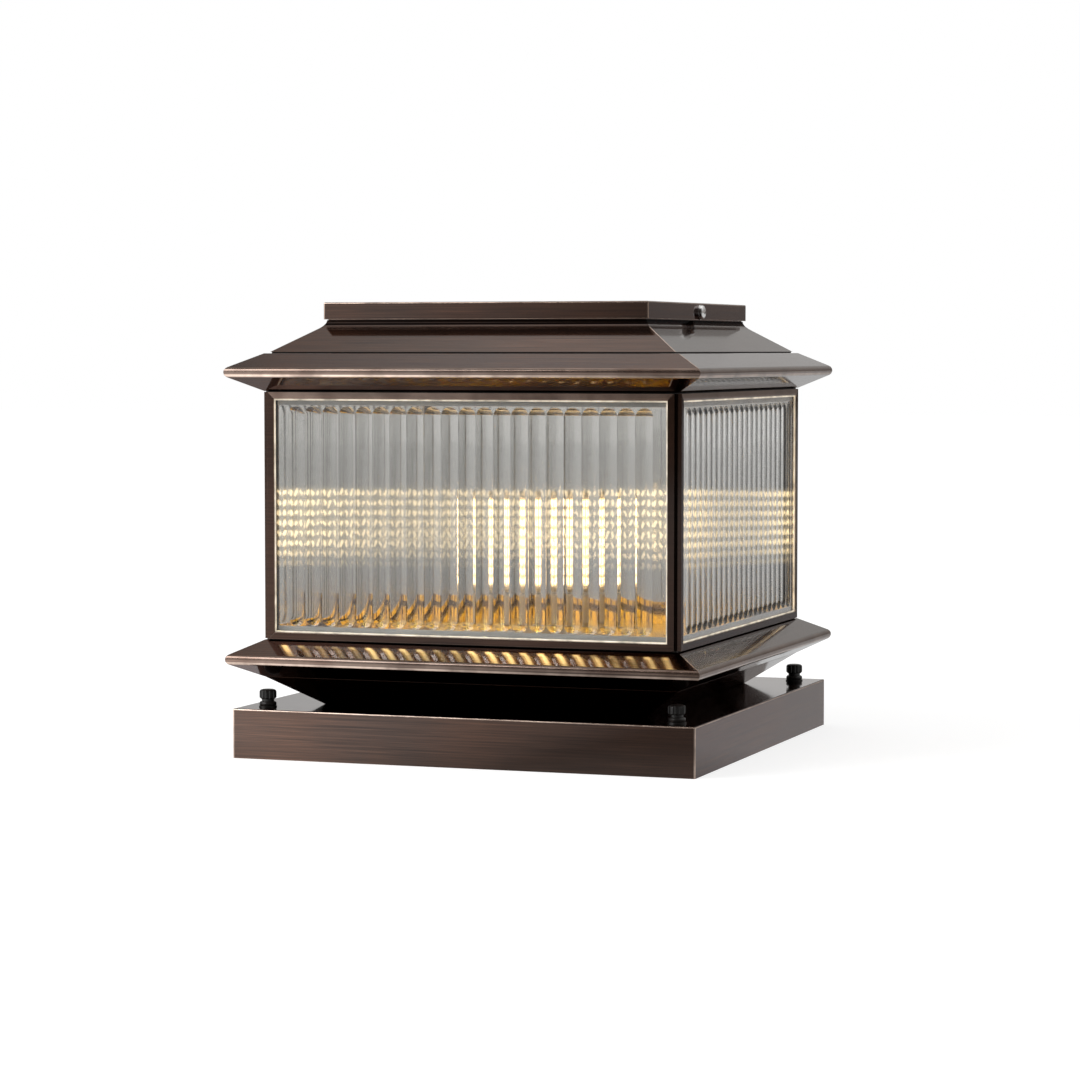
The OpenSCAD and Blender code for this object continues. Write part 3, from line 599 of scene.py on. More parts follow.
def stroke_coordinates(f, stroke_l, stroke_w):
    """Coordinates along and across the brush strokes, which run level round the piece."""
    x, y, z = f.parts(f.spot())
    normal = f.add("ShaderNodeNewGeometry").outputs["Normal"]
    turn_x, turn_y, turn_z = [f.size(part) for part in f.parts(normal)]
    least_slope, flattest = 0.3, 0.96
    faces_side = f.math("GREATER_THAN", turn_x, f.plus(turn_y, 0.0001))
    along = f.either(faces_side, x, y)
    inward = f.either(faces_side, y, x)
    slope = f.math("SQRT", f.minus(1.0, f.times(turn_z, turn_z)))
    up = f.math("DIVIDE", z, f.larger(slope, least_slope))
    level = f.math("GREATER_THAN", turn_z, flattest)
    across = f.either(level, up, inward)
    along = f.math("DIVIDE", along, stroke_l)
    across = f.math("DIVIDE", across, stroke_w)
    return f.vector(along, across, faces_side), level


def bronze_finish(name, bare, shade=1.0):
    """Brushed antique bronze under a thin clear lacquer, paler where it is bare: rubbed wear and a
    painted highlight.
    """
    look = settings().bronze
    f = Finish(name)
    deep, middle, light = [[tone * shade * c for c in look.body] for tone in (0.55, 1.0, 1.58)]
    strokes, level = stroke_coordinates(f, look.stroke_l, look.stroke_w)
    fine = f.noise(strokes, 1.0, 3.0, 0.6)
    broad = f.noise(strokes, 0.36, 2.0, 0.5)
    patches = f.noise(f.spot(), 11.0, 3.0, 0.55)
    tone = f.plus(f.times(fine, 0.6), f.times(broad, 0.4))
    body = f.ramp(tone, (0.36, deep), (0.50, middle), (0.64, light))
    warm = f.ramp(patches, (0.35, (0.82, 0.86, 0.92)), (0.65, (1.18, 1.06, 0.98)))
    body = f.mix(1.0, body, warm, "MULTIPLY")
    # Pale edge colour mixed in: rubbed wear and painted highlight.
    if bare:
        uneven = f.noise(f.spot(), 48.0, 3.0, 0.6)
        body = f.mix(f.between(uneven, 0.34, 0.60, 0.4 * bare, bare), body, rgba(look.edge))
    f.set(Base_Color=body, Metallic=1.0)
    rough = f.between(fine, 0.25, 0.75, look.rough * 1.3, look.rough * 0.7)
    f.set(Roughness=rough, Specular_Tint=rgba(look.graze), Anisotropic=0.5)
    f.set(Coat_Weight=look.lacquer * shade, Coat_Roughness=0.07, Coat_IOR=1.5)
    tangent = f.add("ShaderNodeTangent", direction_type="RADIAL", axis="Z").outputs[0]
    height = f.times(fine, f.minus(1.0, f.times(level, 0.8)))
    f.set(Tangent=tangent, Normal=f.bump(height, 0.22, 0.00004))


def plain_metal(name, colour, rough):
    """Machined metal with a fine grain and slight stains."""
    f = Finish(name)
    stain = f.noise(f.spot(), 60.0, 3.0, 0.6)
    fine = f.noise(f.spot(), 900.0, 2.0, 0.6)
    dull = [0.72 * c for c in colour]
    f.set(Base_Color=f.ramp(stain, (0.3, dull), (0.62, colour)), Metallic=1.0)
    f.set(Roughness=f.between(fine, 0.3, 0.7, rough * 0.8, rough * 1.25))
    f.set(Normal=f.bump(fine, 0.12, 0.00004))


def moulded(name, colour, rough, coat=0.0):
    """Moulded plastic, rubber or glaze with a fine skin and uneven shade."""
    f = Finish(name)
    shade = f.noise(f.spot(), 45.0, 3.0, 0.55)
    skin = f.noise(f.spot(), 1600.0, 2.0, 0.55)
    f.set(Base_Color=f.ramp(shade, (0.3, [0.8 * c for c in colour]), (0.7, colour)))
    f.set(Roughness=f.between(skin, 0.3, 0.7, rough * 0.85, min(1.0, rough * 1.2)))
    f.set(Normal=f.bump(skin, 0.3, 0.00002), Coat_Weight=coat, Coat_Roughness=0.05)


def gold_finish():
    """Amber anodised sheet of the lantern's floor, with near-black patches at random that stand for
    dark reflections: painted reflection.
    """
    f = Finish("gold_floor")
    stain = f.noise(f.spot(), 75.0, 4.0, 0.62)
    fine = f.noise(f.spot(), 700.0, 2.0, 0.6)
    # Near-black patches: painted dark reflections on the gold.
    f.set(Base_Color=f.ramp(stain, (0.44, (0.07, 0.03, 0.003)), (0.53, (0.98, 0.66, 0.05))))
    f.set(Metallic=0.5, Coat_Weight=0.2, Coat_Roughness=0.1)
    f.set(Roughness=f.between(fine, 0.3, 0.7, 0.18, 0.32), Normal=f.bump(fine, 0.2, 0.00005))


def flute_pitch():
    """Width from the middle of one flute to the next."""
    look = settings().glass
    near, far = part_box("glass_front")
    return (far.x - near.x - 2 * look.bite - 2 * look.side) / look.flutes


class PanePlaces:
    """Places on the panes, worked out in their material."""

    def __init__(self, f):
        pitch = flute_pitch()
        self.x, self.y, self.z = f.parts(f.spot())
        wide, deep = f.size(self.x), f.size(self.y)
        self.reach = f.larger(wide, deep)
        self.on_side = f.math("GREATER_THAN", wide, deep)
        self.along = f.either(self.on_side, self.x, self.y)
        self.turn = f.times(f.plus(self.along, pitch / 2), WHOLE_TURN / pitch)


def painted_glint_strength(f, look, at):
    """Brightness of the painted glints: rows of warm spots painted on the panes' inner faces for
    the lamp's chips seen in the flutes.
    """
    top, row = look.spot_top, look.spot_row
    fall_along_front, rise_along_side = 0.014, 0.045
    inner = f.math("LESS_THAN", at.reach, NEAR - high("glass_front").y)
    rise = f.minus(f.times(at.y, rise_along_side), f.times(at.x, fall_along_front))
    height = f.plus(at.z, rise)
    sway = f.times(f.minus(f.noise(f.spot(), 260.0, 2.0, 0.5), 0.5), 5.0)
    zigzag = f.times(f.math("SINE", f.times(at.turn, 1.5)), 0.9)
    down = f.times(f.minus(height, top), WHOLE_TURN / row)
    rows = f.math("COSINE", f.plus(down, zigzag, sway))
    columns = f.math("COSINE", f.plus(f.times(at.turn, 3.0), sway))
    spots = f.between(f.plus(f.times(rows, 0.54), f.times(columns, 0.46)), 0.05, 0.70, 0.08, 1.0)
    upper = f.between(height, top + 0.7 * row, top + 0.3 * row, 0.0, 1.0)
    lower = f.between(height, top - 7.5 * row, top - 5.0 * row, 0.0, 1.0)
    outer = f.between(f.size(at.along), 0.04, 0.115, 0.45, 1.0)
    return f.times(spots, inner, upper, lower, outer, look.painted_glint_strength)


def painted_foot_glint(f, look, at, outside):
    """Brightness of painted streaks on the flutes' feet of the front and back panes, which only the
    eaves mirror: a painted reflection of the lamp's light.
    """
    foot = low("glass_front").z
    full, faded = foot + 0.010, foot + 0.036
    ray = f.add("ShaderNodeLightPath").outputs
    inward = f.larger(f.add("ShaderNodeNewGeometry").outputs["Backfacing"], at.on_side)
    inward = f.larger(inward, ray["Is Transmission Ray"])
    mirrored = f.times(ray["Is Glossy Ray"], f.minus(1.0, inward))
    streak = f.between(f.times(f.math("COSINE", at.turn), -1.0), 0.0, 1.0, 0.0, 1.0)
    fading = f.between(at.z, faded, full, 0.0, 1.0)
    uneven = f.between(f.noise(f.spot(), 20.0, 2.0, 0.5), 0.40, 0.60, 0.15, 1.0)
    return f.times(streak, fading, outside, mirrored, uneven, look.painted_foot_glint)


def painted_flute_shade(f, look):
    """Tint of the glass with painted shade: darker along the steep edges of the flutes, for the
    dark lines that refraction shows there.
    """
    turn_x, turn_y, turn_z = f.parts(f.add("ShaderNodeNewGeometry").outputs["Normal"])
    clear, dark = 0.848, 0.838
    steep = f.between(f.larger(f.size(turn_x), f.size(turn_y)), clear, dark, 0.0, 1.0)
    return f.mix(steep, rgba(look.tint), rgba([look.line * c for c in look.tint]))


def glass_finish():
    """Pressed glass that lets the lamp's light through, with painted glints, a painted foot
    reflection and painted dark flute lines.
    """
    look = settings().glass
    f = Finish("pressed_glass")
    at = PanePlaces(f)
    outside = f.math("GREATER_THAN", at.reach, -low("glass_front").y - look.depth - NEAR)
    # Emission colour: painted glints inside, painted foot streaks outside.
    colour = f.mix(outside, rgba(look.spots), rgba(look.feet))
    waves = f.noise(f.spot(), 70.0, 2.0, 0.5)
    grit = f.noise(f.spot(), 3600.0, 1.0, 0.5)
    haze = f.between(grit, 0.545, 0.645, 0.01, look.haze)
    f.set(Base_Color=painted_flute_shade(f, look), Roughness=haze, IOR=1.55, Transmission_Weight=1.0)
    f.set(Normal=f.bump(waves, 0.08, 0.0006))
    # Emission painted on the glass: glints of the lamp in the flutes, and foot streaks that only
    # reflections show.
    f.shine(colour, f.plus(painted_glint_strength(f, look, at), painted_foot_glint(f, look, at, outside)))
    clear = f.add("ShaderNodeBsdfTransparent", {0: rgba([0.9 * c for c in look.tint])})
    shadow = f.add("ShaderNodeLightPath").outputs["Is Shadow Ray"]
    f.end_with(shadow, f.shader.outputs[0], clear.outputs[0])


def bead_finish():
    """Clear sealant with a painted glow along the edge of a pane, for the lamp's light."""
    f = Finish("clear_sealant")
    uneven = f.noise(f.spot(), 90.0, 3.0, 0.6)
    f.set(Base_Color=f.ramp(uneven, (0.3, (0.66, 0.60, 0.50)), (0.7, (0.95, 0.90, 0.80))))
    f.set(Roughness=0.25)
    # Painted glow: the sealant shines, though it is no lamp.
    f.shine(rgba((1.0, 0.84, 0.62)), f.between(uneven, 0.35, 0.65, 0.12, 0.55))


def lining_finish():
    """Unpolished inner side of the roof sheets and the cap."""
    f = Finish("raw_lining")
    stain = f.noise(f.spot(), 30.0, 3.0, 0.6)
    f.set(Base_Color=f.ramp(stain, (0.3, (0.76, 0.72, 0.64)), (0.7, (0.90, 0.87, 0.80))))
    f.set(Roughness=0.45)


def lamp_finishes():
    """Lit phosphor of the light chips, and the white column between them with a painted glow for
    the chips' light.
    """
    look = settings().lamp
    f = Finish("lit_phosphor")
    grain = f.noise(f.spot(), 2200.0, 2.0, 0.6)
    f.set(Base_Color=f.ramp(grain, (0.3, (0.90, 0.62, 0.16)), (0.7, (1.0, 0.80, 0.34))))
    f.set(Roughness=0.4, Coat_Weight=0.4)
    f.shine(rgba(look.glow), look.chip_power)
    f = Finish("lit_column")
    grain = f.noise(f.spot(), 300.0, 2.0, 0.5)
    f.set(Base_Color=f.ramp(grain, (0.3, (0.78, 0.72, 0.60)), (0.7, (0.86, 0.82, 0.72))))
    f.set(Roughness=0.35)
    # Painted glow: the column shines, though it is no lamp.
    f.shine(rgba((1.0, 0.60, 0.26)), look.column_painted_glow)


def slope_section(foot, head, height, foot_flange, head_flange, sheet):
    """Bent sheet that slopes out from its foot to its head, with a flange at each end."""
    angle = math.atan2(height, head - foot)
    run = (height - sheet - sheet * math.cos(angle)) / math.sin(angle)
    return [
        (foot - foot_flange, 0),
        (foot, 0),
        (head, height),
        (head - head_flange, height),
        (head - head_flange, height - sheet),
        (foot - sheet * math.sin(angle) + run * math.cos(angle), height - sheet),
        (foot - sheet * math.tan(angle / 2), sheet),
        (foot - foot_flange, sheet),
    ]


def eave_section(fold, nose, height, flange, nose_r, sheet):
    """Bent sheet of an eave: flange, upper face, round nose, lower face, flange."""
    up = height / 2
    out = nose - nose_r - fold
    angle = math.atan2(up, out) - math.asin(nose_r / math.hypot(out, up))
    steps = 12
    sweep = [(math.pi / 2 - angle) * (1 - 2 * i / steps) for i in range(steps + 1)]
    centre = nose - nose_r
    back = sheet * math.tan(angle / 2)
    outside = [(centre + nose_r * math.cos(a), nose_r * math.sin(a)) for a in sweep]
    inner_r = nose_r - sheet
    inside = [(centre + inner_r * math.cos(a), inner_r * math.sin(a)) for a in reversed(sweep)]
    return (
        [(fold - flange, up), (fold, up)]
        + outside
        + [(fold, -up), (fold - flange, -up)]
        + [(fold - flange, sheet - up), (fold - back, sheet - up)]
        + inside
        + [(fold - back, up - sheet), (fold - flange, up - sheet)]
    )


def raised(section, height):
    """A section moved up."""
    return [(r, z + height) for r, z in section]


def curve_point(first, middle, last, share):
    """A point of the bend from a first to a last point that is drawn to a middle one."""
    near, far = 1 - share, share
    return tuple(
        near ** 2 * a + 2 * far * near * b + far * far * c for a, b, c in zip(first, middle, last)
    )


class MakePanels(bpy.types.Operator):
    """Fold the neck, the two eaves and the roof out of bronze sheet"""

    bl_idname = "pillarlight.panels"
    bl_label = "Sloping panels"

    def execute(self, context):
        look = settings().bronze
        for node, section in (
            ("neck", self.neck()),
            ("lower_eave", self.eave("lower_eave")),
            ("upper_eave", self.eave("upper_eave")),
            ("roof", self.roof()),
        ):
            ring = square_ring(node + "_panels", section)
            soften(ring, look.edge_r)
            smooth(ring)
            hang(ring, node, "antique_bronze")
            if node == "roof":
                foot, head = low(node).z + MM, high(node).z - MM
                # Roof folds: rubbed wear and painted highlight.
                finish_narrow_faces(ring, "rubbed_bronze", lambda face: foot < face.center.z < head)
                # Painted shadow: the roof's top band under the cap gets a near-black bronze.
                finish_narrow_faces(ring, "blackened_bronze", lambda face: face.center.z > head + MM)
            elif node != "neck":
                tip = high(node).x - look.nose_r
                finish_narrow_faces(ring, "rubbed_bronze", lambda face: not self.at_nose(face, tip))
                # Noses in paler copper: rubbed wear and painted highlight.
                finish_narrow_faces(ring, "worn_copper", lambda face: self.at_nose(face, tip))
            if node in ("upper_eave", "roof"):
                self.line(ring)
        return {"FINISHED"}

    def at_nose(self, face, tip):
        """Whether a face lies on an eave's round nose, apart from its underside."""
        lowest_turn, highest_turn = -0.35, 0.86
        reach = max(abs(face.center.x), abs(face.center.y))
        return reach > tip and lowest_turn < face.normal.z < highest_turn

    def line(self, ring):
        """Leave the inner side of a ring unpolished."""
        ring.data.materials.append(bpy.data.materials["raw_lining"])
        inside = len(ring.data.materials) - 1
        least = 0.02
        for face in ring.data.polygons:
            ways = face.center.x * face.normal.x, face.center.y * face.normal.y
            if min(ways) < -least and max(ways) < least:
                face.material_index = inside

    def neck(self):
        """Section of the neck, which stands on the base and carries the lower eave."""
        base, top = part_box("neck")
        near_foot, foot = half_widths("neck", base.z)
        flange = top.x - half_widths("neck", top.z)[0]
        sheet = settings().bronze.sheet
        section = slope_section(foot, top.x, top.z - base.z, foot - near_foot, flange, sheet)
        return raised(section, base.z)

    def eave(self, node):
        """Section of an eave, with its nose at half its height."""
        look = settings().bronze
        base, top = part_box(node)
        near, fold = half_widths(node, top.z)
        section = eave_section(fold, top.x, top.z - base.z, fold - near, look.nose_r, look.sheet)
        return raised(section, (base.z + top.z) / 2)

    def roof(self):
        """Section of the roof, wide at its foot and raised round the collar under the cap."""
        base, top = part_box("roof")
        near_top, narrow = half_widths("roof", top.z)
        near_foot = half_widths("roof", base.z)[0]
        sheet = settings().bronze.sheet
        slope = math.atan2(top.z - base.z, top.x - narrow)
        stand = high("roof_collar").x + 0.1 * MM
        under = low("cap").z - 0.4 * MM
        lip = stand + 0.6 * MM
        start = lip + 4.2 * MM
        corner = (lip, base.z + (top.x - lip) * math.tan(slope))
        foot_of_bend = (start, base.z + (top.x - start) * math.tan(slope))
        inner_run = sheet / math.sin(slope) + (top.z - sheet - base.z) / math.tan(slope)
        steps = 7
        bend = [
            curve_point((lip, under), corner, foot_of_bend, i / steps) for i in range(steps + 1)
        ]
        return [
            (near_top, top.z),
            (stand, top.z),
            (stand, under),
            *bend,
            (top.x, base.z),
            (near_foot, base.z),
            (near_foot, base.z + sheet),
            (top.x - sheet / math.tan(slope / 2), base.z + sheet),
            (top.x - inner_run, top.z - sheet),
            (near_top, top.z - sheet),
        ]


class MakeFoldedParts(bpy.types.Operator):
    """Round the edges of the base cover, the cap, the frame and the floor tray"""

    bl_idname = "pillarlight.folded"
    bl_label = "Folded sheet parts"

    def execute(self, context):
        look = settings().bronze
        steepest, underside, least_area = 0.6, -0.9, 0.01
        posts = [
            (f"corner_post_{i}", f"post_{i}", "dark_bronze", "worn_bronze") for i in range(1, 5)
        ]
        for node, name, finish, edges in (
            ("base_cover", "base_shell", "brushed_bronze", "rubbed_bronze"),
            ("cap", "cap_shell", "brushed_bronze", "rubbed_bronze"),
            ("bottom_rails", "bottom_channels", "dark_bronze", "worn_bronze"),
            # Top channels in paler copper: painted reflection of the lit eave underside.
            ("top_rails", "top_channels", "worn_copper", "worn_bronze"),
            *posts,
        ):
            part = merged_copy(node, name)
            soften(part, look.edge_r * 0.6, 2, 30)
            smooth(part)
            hang(part, node, "antique_bronze")
            part.data.materials[0] = bpy.data.materials[finish]
            # Narrow steep faces: rubbed wear and painted highlight.
            finish_narrow_faces(part, edges, lambda face: abs(face.normal.z) < steepest)
            if node == "cap":
                part.data.materials.append(bpy.data.materials["raw_lining"])
                for face in part.data.polygons:
                    if face.normal.z < underside and face.area > least_area:
                        face.material_index = len(part.data.materials) - 1
        tray = merged_copy("floor_tray", "gold_floor")
        soften(tray, look.edge_r, 2, 30)
        smooth(tray)
        hang(tray, "floor_tray", "gold_tray")
        return {"FINISHED"}


class MakePanes(bpy.types.Operator):
    """Press the four fluted panes"""

    bl_idname = "pillarlight.panes"
    bl_label = "Fluted panes"

    def execute(self, context):
        pane = self.blank()
        cut(pane, self.flute_bars())
        activate(pane)
        bpy.ops.object.shade_smooth_by_angle(angle=math.radians(28))
        others = quarter_copies(pane, ["pane_" + side for side in SIDES[1:]])
        for side, other in zip(SIDES[1:], others):
            hang(other, "glass_" + side, "clear_glass")
        hang(pane, "glass_front", "clear_glass")
        return {"FINISHED"}

    def blank(self):
        """The plain front pane."""
        near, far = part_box("glass_front")
        return primitive(
            "pane_front", bpy.ops.mesh.primitive_cube_add, size=1,
            location=(near + far) / 2, scale=far - near
        )

    def flute_bars(self):
        """Slivers of round-ended bars, one for each flute, that cut the front pane."""
        look = settings().glass
        near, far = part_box("glass_front")
        pitch = flute_pitch()
        width = pitch - look.land
        radius = (width * width / 4 + look.depth * look.depth) / (2 * look.depth)
        margin = look.bite + look.end + width / 2
        length = far.z - near.z - 2 * margin
        axis_y = near.y + look.depth - radius
        bar = primitive(
            "flute_bar", bpy.ops.mesh.primitive_uv_sphere_add, segments=128, ring_count=64,
            radius=radius, location=(0, axis_y, near.z + margin)
        )
        edit(bar)
        middle = near.z + margin
        select_faces(lambda face: face.calc_center_median().z > middle)
        bpy.ops.mesh.extrude_region_move(TRANSFORM_OT_translate={"value": (0, 0, length)})
        bpy.ops.mesh.select_all(action="SELECT")
        bpy.ops.mesh.bisect(
            plane_co=(0, near.y - 0.02 * MM, 0), plane_no=(0, 1, 0), use_fill=True, clear_inner=True
        )
        bpy.ops.mesh.select_all(action="SELECT")
        start = -pitch * (look.flutes - 1) / 2
        bpy.ops.transform.translate(value=(start, 0, 0))
        bpy.ops.object.mode_set(mode="OBJECT")
        clean(bar)
        modify(
            bar, "ARRAY", count=look.flutes, use_relative_offset=False,
            use_constant_offset=True, constant_offset_displace=(pitch, 0, 0)
        )
        return bar


class MakeBeads(bpy.types.Operator):
    """Lay the sealant beads and the glazing tape between the panes and their frame"""

    bl_idname = "pillarlight.beads"
    bl_label = "Sealant beads"

    def execute(self, context):
        look = settings().bead
        half, base, top = self.opening()
        middle = (0, low("glass_front").y, (base + top) / 2)
        bead = primitive(
            "bead_front", bpy.ops.mesh.primitive_plane_add, size=1, rotation=(math.pi / 2, 0, 0),
            location=middle
        )
        edit(bead)
        bpy.ops.mesh.select_all(action="SELECT")
        bpy.ops.transform.resize(value=(2 * half, 1, top - base), center_override=middle)
        bpy.ops.mesh.inset(thickness=look.width)
        bpy.ops.mesh.delete(type="FACE")
        bpy.ops.object.mode_set(mode="OBJECT")
        modify(bead, "SOLIDIFY", thickness=look.height, offset=1)
        soften(bead, look.height * 0.45, 3, 40)
        smooth(bead)
        for other in quarter_copies(bead, ["bead_" + side for side in SIDES[1:]]):
            self.place(other)
        self.place(bead)
        back = high("glass_front").y + NEAR
        end = settings().glass.end
        for name, foot, head in (
            ("lower_tape", base - MM, base + end - 0.4 * MM),
            ("upper_tape", top - end + 0.4 * MM, top + MM),
        ):
            tape = primitive(
                name + "_front", bpy.ops.mesh.primitive_cube_add, size=1,
                location=(0, back, (foot + head) / 2),
                scale=(2 * half - 2 * MM, look.tape, head - foot)
            )
            soften(tape, 0.1 * MM, 2, 40)
            smooth(tape)
            for other in quarter_copies(tape, [name + "_" + side for side in SIDES[1:]]):
                self.back_tape(other)
            self.back_tape(tape)
        return {"FINISHED"}

    def back_tape(self, tape):
        """Give a tape its pale face, and its inner side the gold floor finish as a painted
        reflection of the gold tray.
        """
        self.place(tape, "glazing_tape", "grey_rubber")
        # Painted reflection: inner side in the gold floor finish.
        tape.data.materials.append(bpy.data.materials["gold_floor"])
        inward = -0.1
        for face in tape.data.polygons:
            if face.center.x * face.normal.x + face.center.y * face.normal.y < inward:
                face.material_index = 1

    def place(self, bead, finish="clear_sealant", slot="clear_glass"):
        """Give a bead or a tape its finish and its body."""
        bead.data.materials.clear()
        bead.data.materials.append(bpy.data.materials[finish])
        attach(bead, frame["nodes"]["glass_front"]["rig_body"])

    def opening(self):
        """Half width, foot and head of the opening that shows a pane."""
        lip = low("bottom_rails").y + 0.3 * MM
        rail, head, post = [
            [v.co for v in frame["nodes"][node].data.vertices if v.co.y < lip]
            for node in ("bottom_rails", "top_rails", "corner_post_1")
        ]
        half = min(point.x for point in post)
        return half, max(point.z for point in rail), min(point.z for point in head)


def thread(radius, depth, start, end, pitch):
    """Outline of a thread's rounded grooves, from a start height to an end height."""
    turns = int((end - start) / pitch)
    outline = [(radius, start)]
    for i in range(turns):
        foot = start + i * pitch
        outline += [
            (radius, foot + 0.12 * pitch), (radius - depth, foot + 0.42 * pitch),
            (radius - depth, foot + 0.58 * pitch), (radius, foot + 0.88 * pitch),
        ]
    return outline + [(radius, end)]


class MakeThumbScrews(bpy.types.Operator):
    """Turn one thumb screw, scallop its knob, and copy it to the four corners"""

    bl_idname = "pillarlight.thumb_screws"
    bl_label = "Thumb screws"

    def execute(self, context):
        look = settings().screws
        base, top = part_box("thumb_screw_1")
        middle = (base + top) / 2
        knob = (top.x - base.x) / 2
        screw = turned("thumb_knob_1", self.outline(look, knob, base.z, top.z))
        cut(screw, self.scallop_bars(look, knob, top.z))
        soften(screw, 0.22 * MM, 2, 35)
        smooth(screw, 35)
        screw.data.transform(Matrix.Translation((middle.x, middle.y, 0)))
        others = quarter_copies(screw, [f"thumb_knob_{i}" for i in range(2, 5)])
        for i, other in enumerate(others, 2):
            hang(other, f"thumb_screw_{i}", "black_plastic")
        hang(screw, "thumb_screw_1", "black_plastic")
        return {"FINISHED"}

    def outline(self, look, knob, foot, head):
        """Outline of a thumb screw: threaded stud, collar, neck and domed knob."""
        seat = high("thumb_washer_1").z
        stud = look.stud_d / 2
        neck = look.neck_d / 2
        collar = seat + look.collar_h
        neck_top = collar + look.neck_h
        return (
            [(0, foot), (stud - 0.8 * MM, foot)]
            + thread(stud, 0.45 * MM, foot + 0.8 * MM, seat, MM)
            + [
                (knob - 0.4 * MM, seat), (knob, seat + 0.6 * MM),
                (knob, collar - 1.0 * MM), (knob - 0.5 * MM, collar - 0.3 * MM),
                (neck, collar), (neck, neck_top), (knob - 0.9 * MM, neck_top),
                (knob, neck_top + 0.9 * MM), (knob, head - 1.7 * MM),
                (knob - 0.25 * MM, head - 1.0 * MM), (knob - 0.8 * MM, head - 0.45 * MM),
                (knob - 1.8 * MM, head - 0.15 * MM), (knob - 3.2 * MM, head), (0, head),
            ]
        )

    def scallop_bars(self, look, knob, head):
        """Round bars that cut the scallops round a knob."""
        bars = []
        reach = knob + 0.3 * MM
        for i in range(look.scallops):
            angle = i * WHOLE_TURN / look.scallops
            bars.append(primitive(
                "scallop_bar", bpy.ops.mesh.primitive_cylinder_add, vertices=24, radius=0.95 * MM,
                depth=12 * MM,
                location=(reach * math.cos(angle), reach * math.sin(angle), head + 0.5 * MM)
            ))
        return join(*bars)


class MakeCapScrews(bpy.types.Operator):
    """Turn one pan-head cap screw with its cross recess, and copy it to both sides"""

    bl_idname = "pillarlight.cap_screws"
    bl_label = "Cap screws"

    def execute(self, context):
        base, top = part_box("cap_screw_right")
        seat = high("cap_washer_right").x
        head = (top.z - base.z) / 2
        crown = top.x - seat
        shank = settings().screws.cap_d / 2
        start = base.x - seat
        angles = [math.radians(90 - 10 * i) for i in range(9)]
        rise = [(head * math.sin(a), crown * (0.42 + 0.58 * math.cos(a))) for a in angles]
        outline = (
            [(0, start), (shank - 0.5 * MM, start)]
            + thread(shank, 0.35 * MM, start + 0.5 * MM, -0.6 * MM, 0.7 * MM)
            + [(shank, 0), (head - 0.15 * MM, 0), (head, 0.2 * MM)]
            + rise + [(0, crown)]
        )
        screw = turned("pan_screw", outline)
        cut(screw, self.cross(crown))
        soften(screw, 0.12 * MM, 2, 40)
        smooth(screw, 40)
        height = (base.z + top.z) / 2
        for i, side in enumerate(("right", "left")):
            place = (
                Matrix.Rotation(i * math.pi, 4, "Z")
                @ Matrix.Translation((seat, 0, height))
                @ Matrix.Rotation(math.pi / 2, 4, "Y")
                @ Matrix.Rotation(math.radians(24), 4, "Z")
            )
            hang(copied(screw, "pan_screw_" + side, place), "cap_screw_" + side, "stainless")
        bpy.data.objects.remove(screw)
        return {"FINISHED"}

    def cross(self, crown):
        """A tapered cross that cuts the recess."""
        bars = []
        for i in range(2):
            bar = primitive(
                "cross_bar", bpy.ops.mesh.primitive_cube_add, size=1,
                location=(0, 0, crown - 0.4 * MM), scale=(4.6 * MM, 1.05 * MM, 2.6 * MM)
            )
            edit(bar)
            foot = crown - 1.0 * MM
            select_faces(lambda face: face.calc_center_median().z < foot)
            bpy.ops.transform.resize(value=(0.35, 0.5, 1), center_override=(0, 0, foot))
            bpy.ops.object.mode_set(mode="OBJECT")
            bar.data.transform(Matrix.Rotation(i * math.pi / 2, 4, "Z"))
            bars.append(bar)
        modify(bars[0], "BOOLEAN", operation="UNION", solver="EXACT", object=bars[1])
        bpy.data.objects.remove(bars[1])
        return bars[0]


class MakeLampCap(bpy.types.Operator):
    """Roll the threaded screw cap of the lamp"""

    bl_idname = "pillarlight.lamp_cap"
    bl_label = "Lamp cap"

    def execute(self, context):
        look = settings().lamp
        base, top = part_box("lamp_screw_cap")
        outer = top.x
        tip = high("lamp_tip").x + 0.05 * MM
        inner = outer - look.cap_wall
        steps = 8
        turns = int((top.z - base.z - 3 * MM) / look.cap_pitch)
        start = base.z + 1.5 * MM
        waves = [
            (
                outer - look.cap_wave * (0.5 - 0.5 * math.cos(WHOLE_TURN * i / steps)),
                start + look.cap_pitch * i / steps,
            )
            for i in range(turns * steps + 1)
        ]
        outline = (
            [(tip, base.z), (outer - 1.5 * MM, base.z), (outer - 0.4 * MM, base.z + 0.5 * MM)]
            + waves
            + [(outer, top.z), (inner, top.z), (inner, base.z + look.cap_wall)]
            + [(tip, base.z + look.cap_wall), (tip, base.z)]
        )
        cap = turned("lamp_thread", outline, 96)
        smooth(cap, 50)
        hang(cap, "lamp_screw_cap", "lamp_nickel")
        return {"FINISHED"}


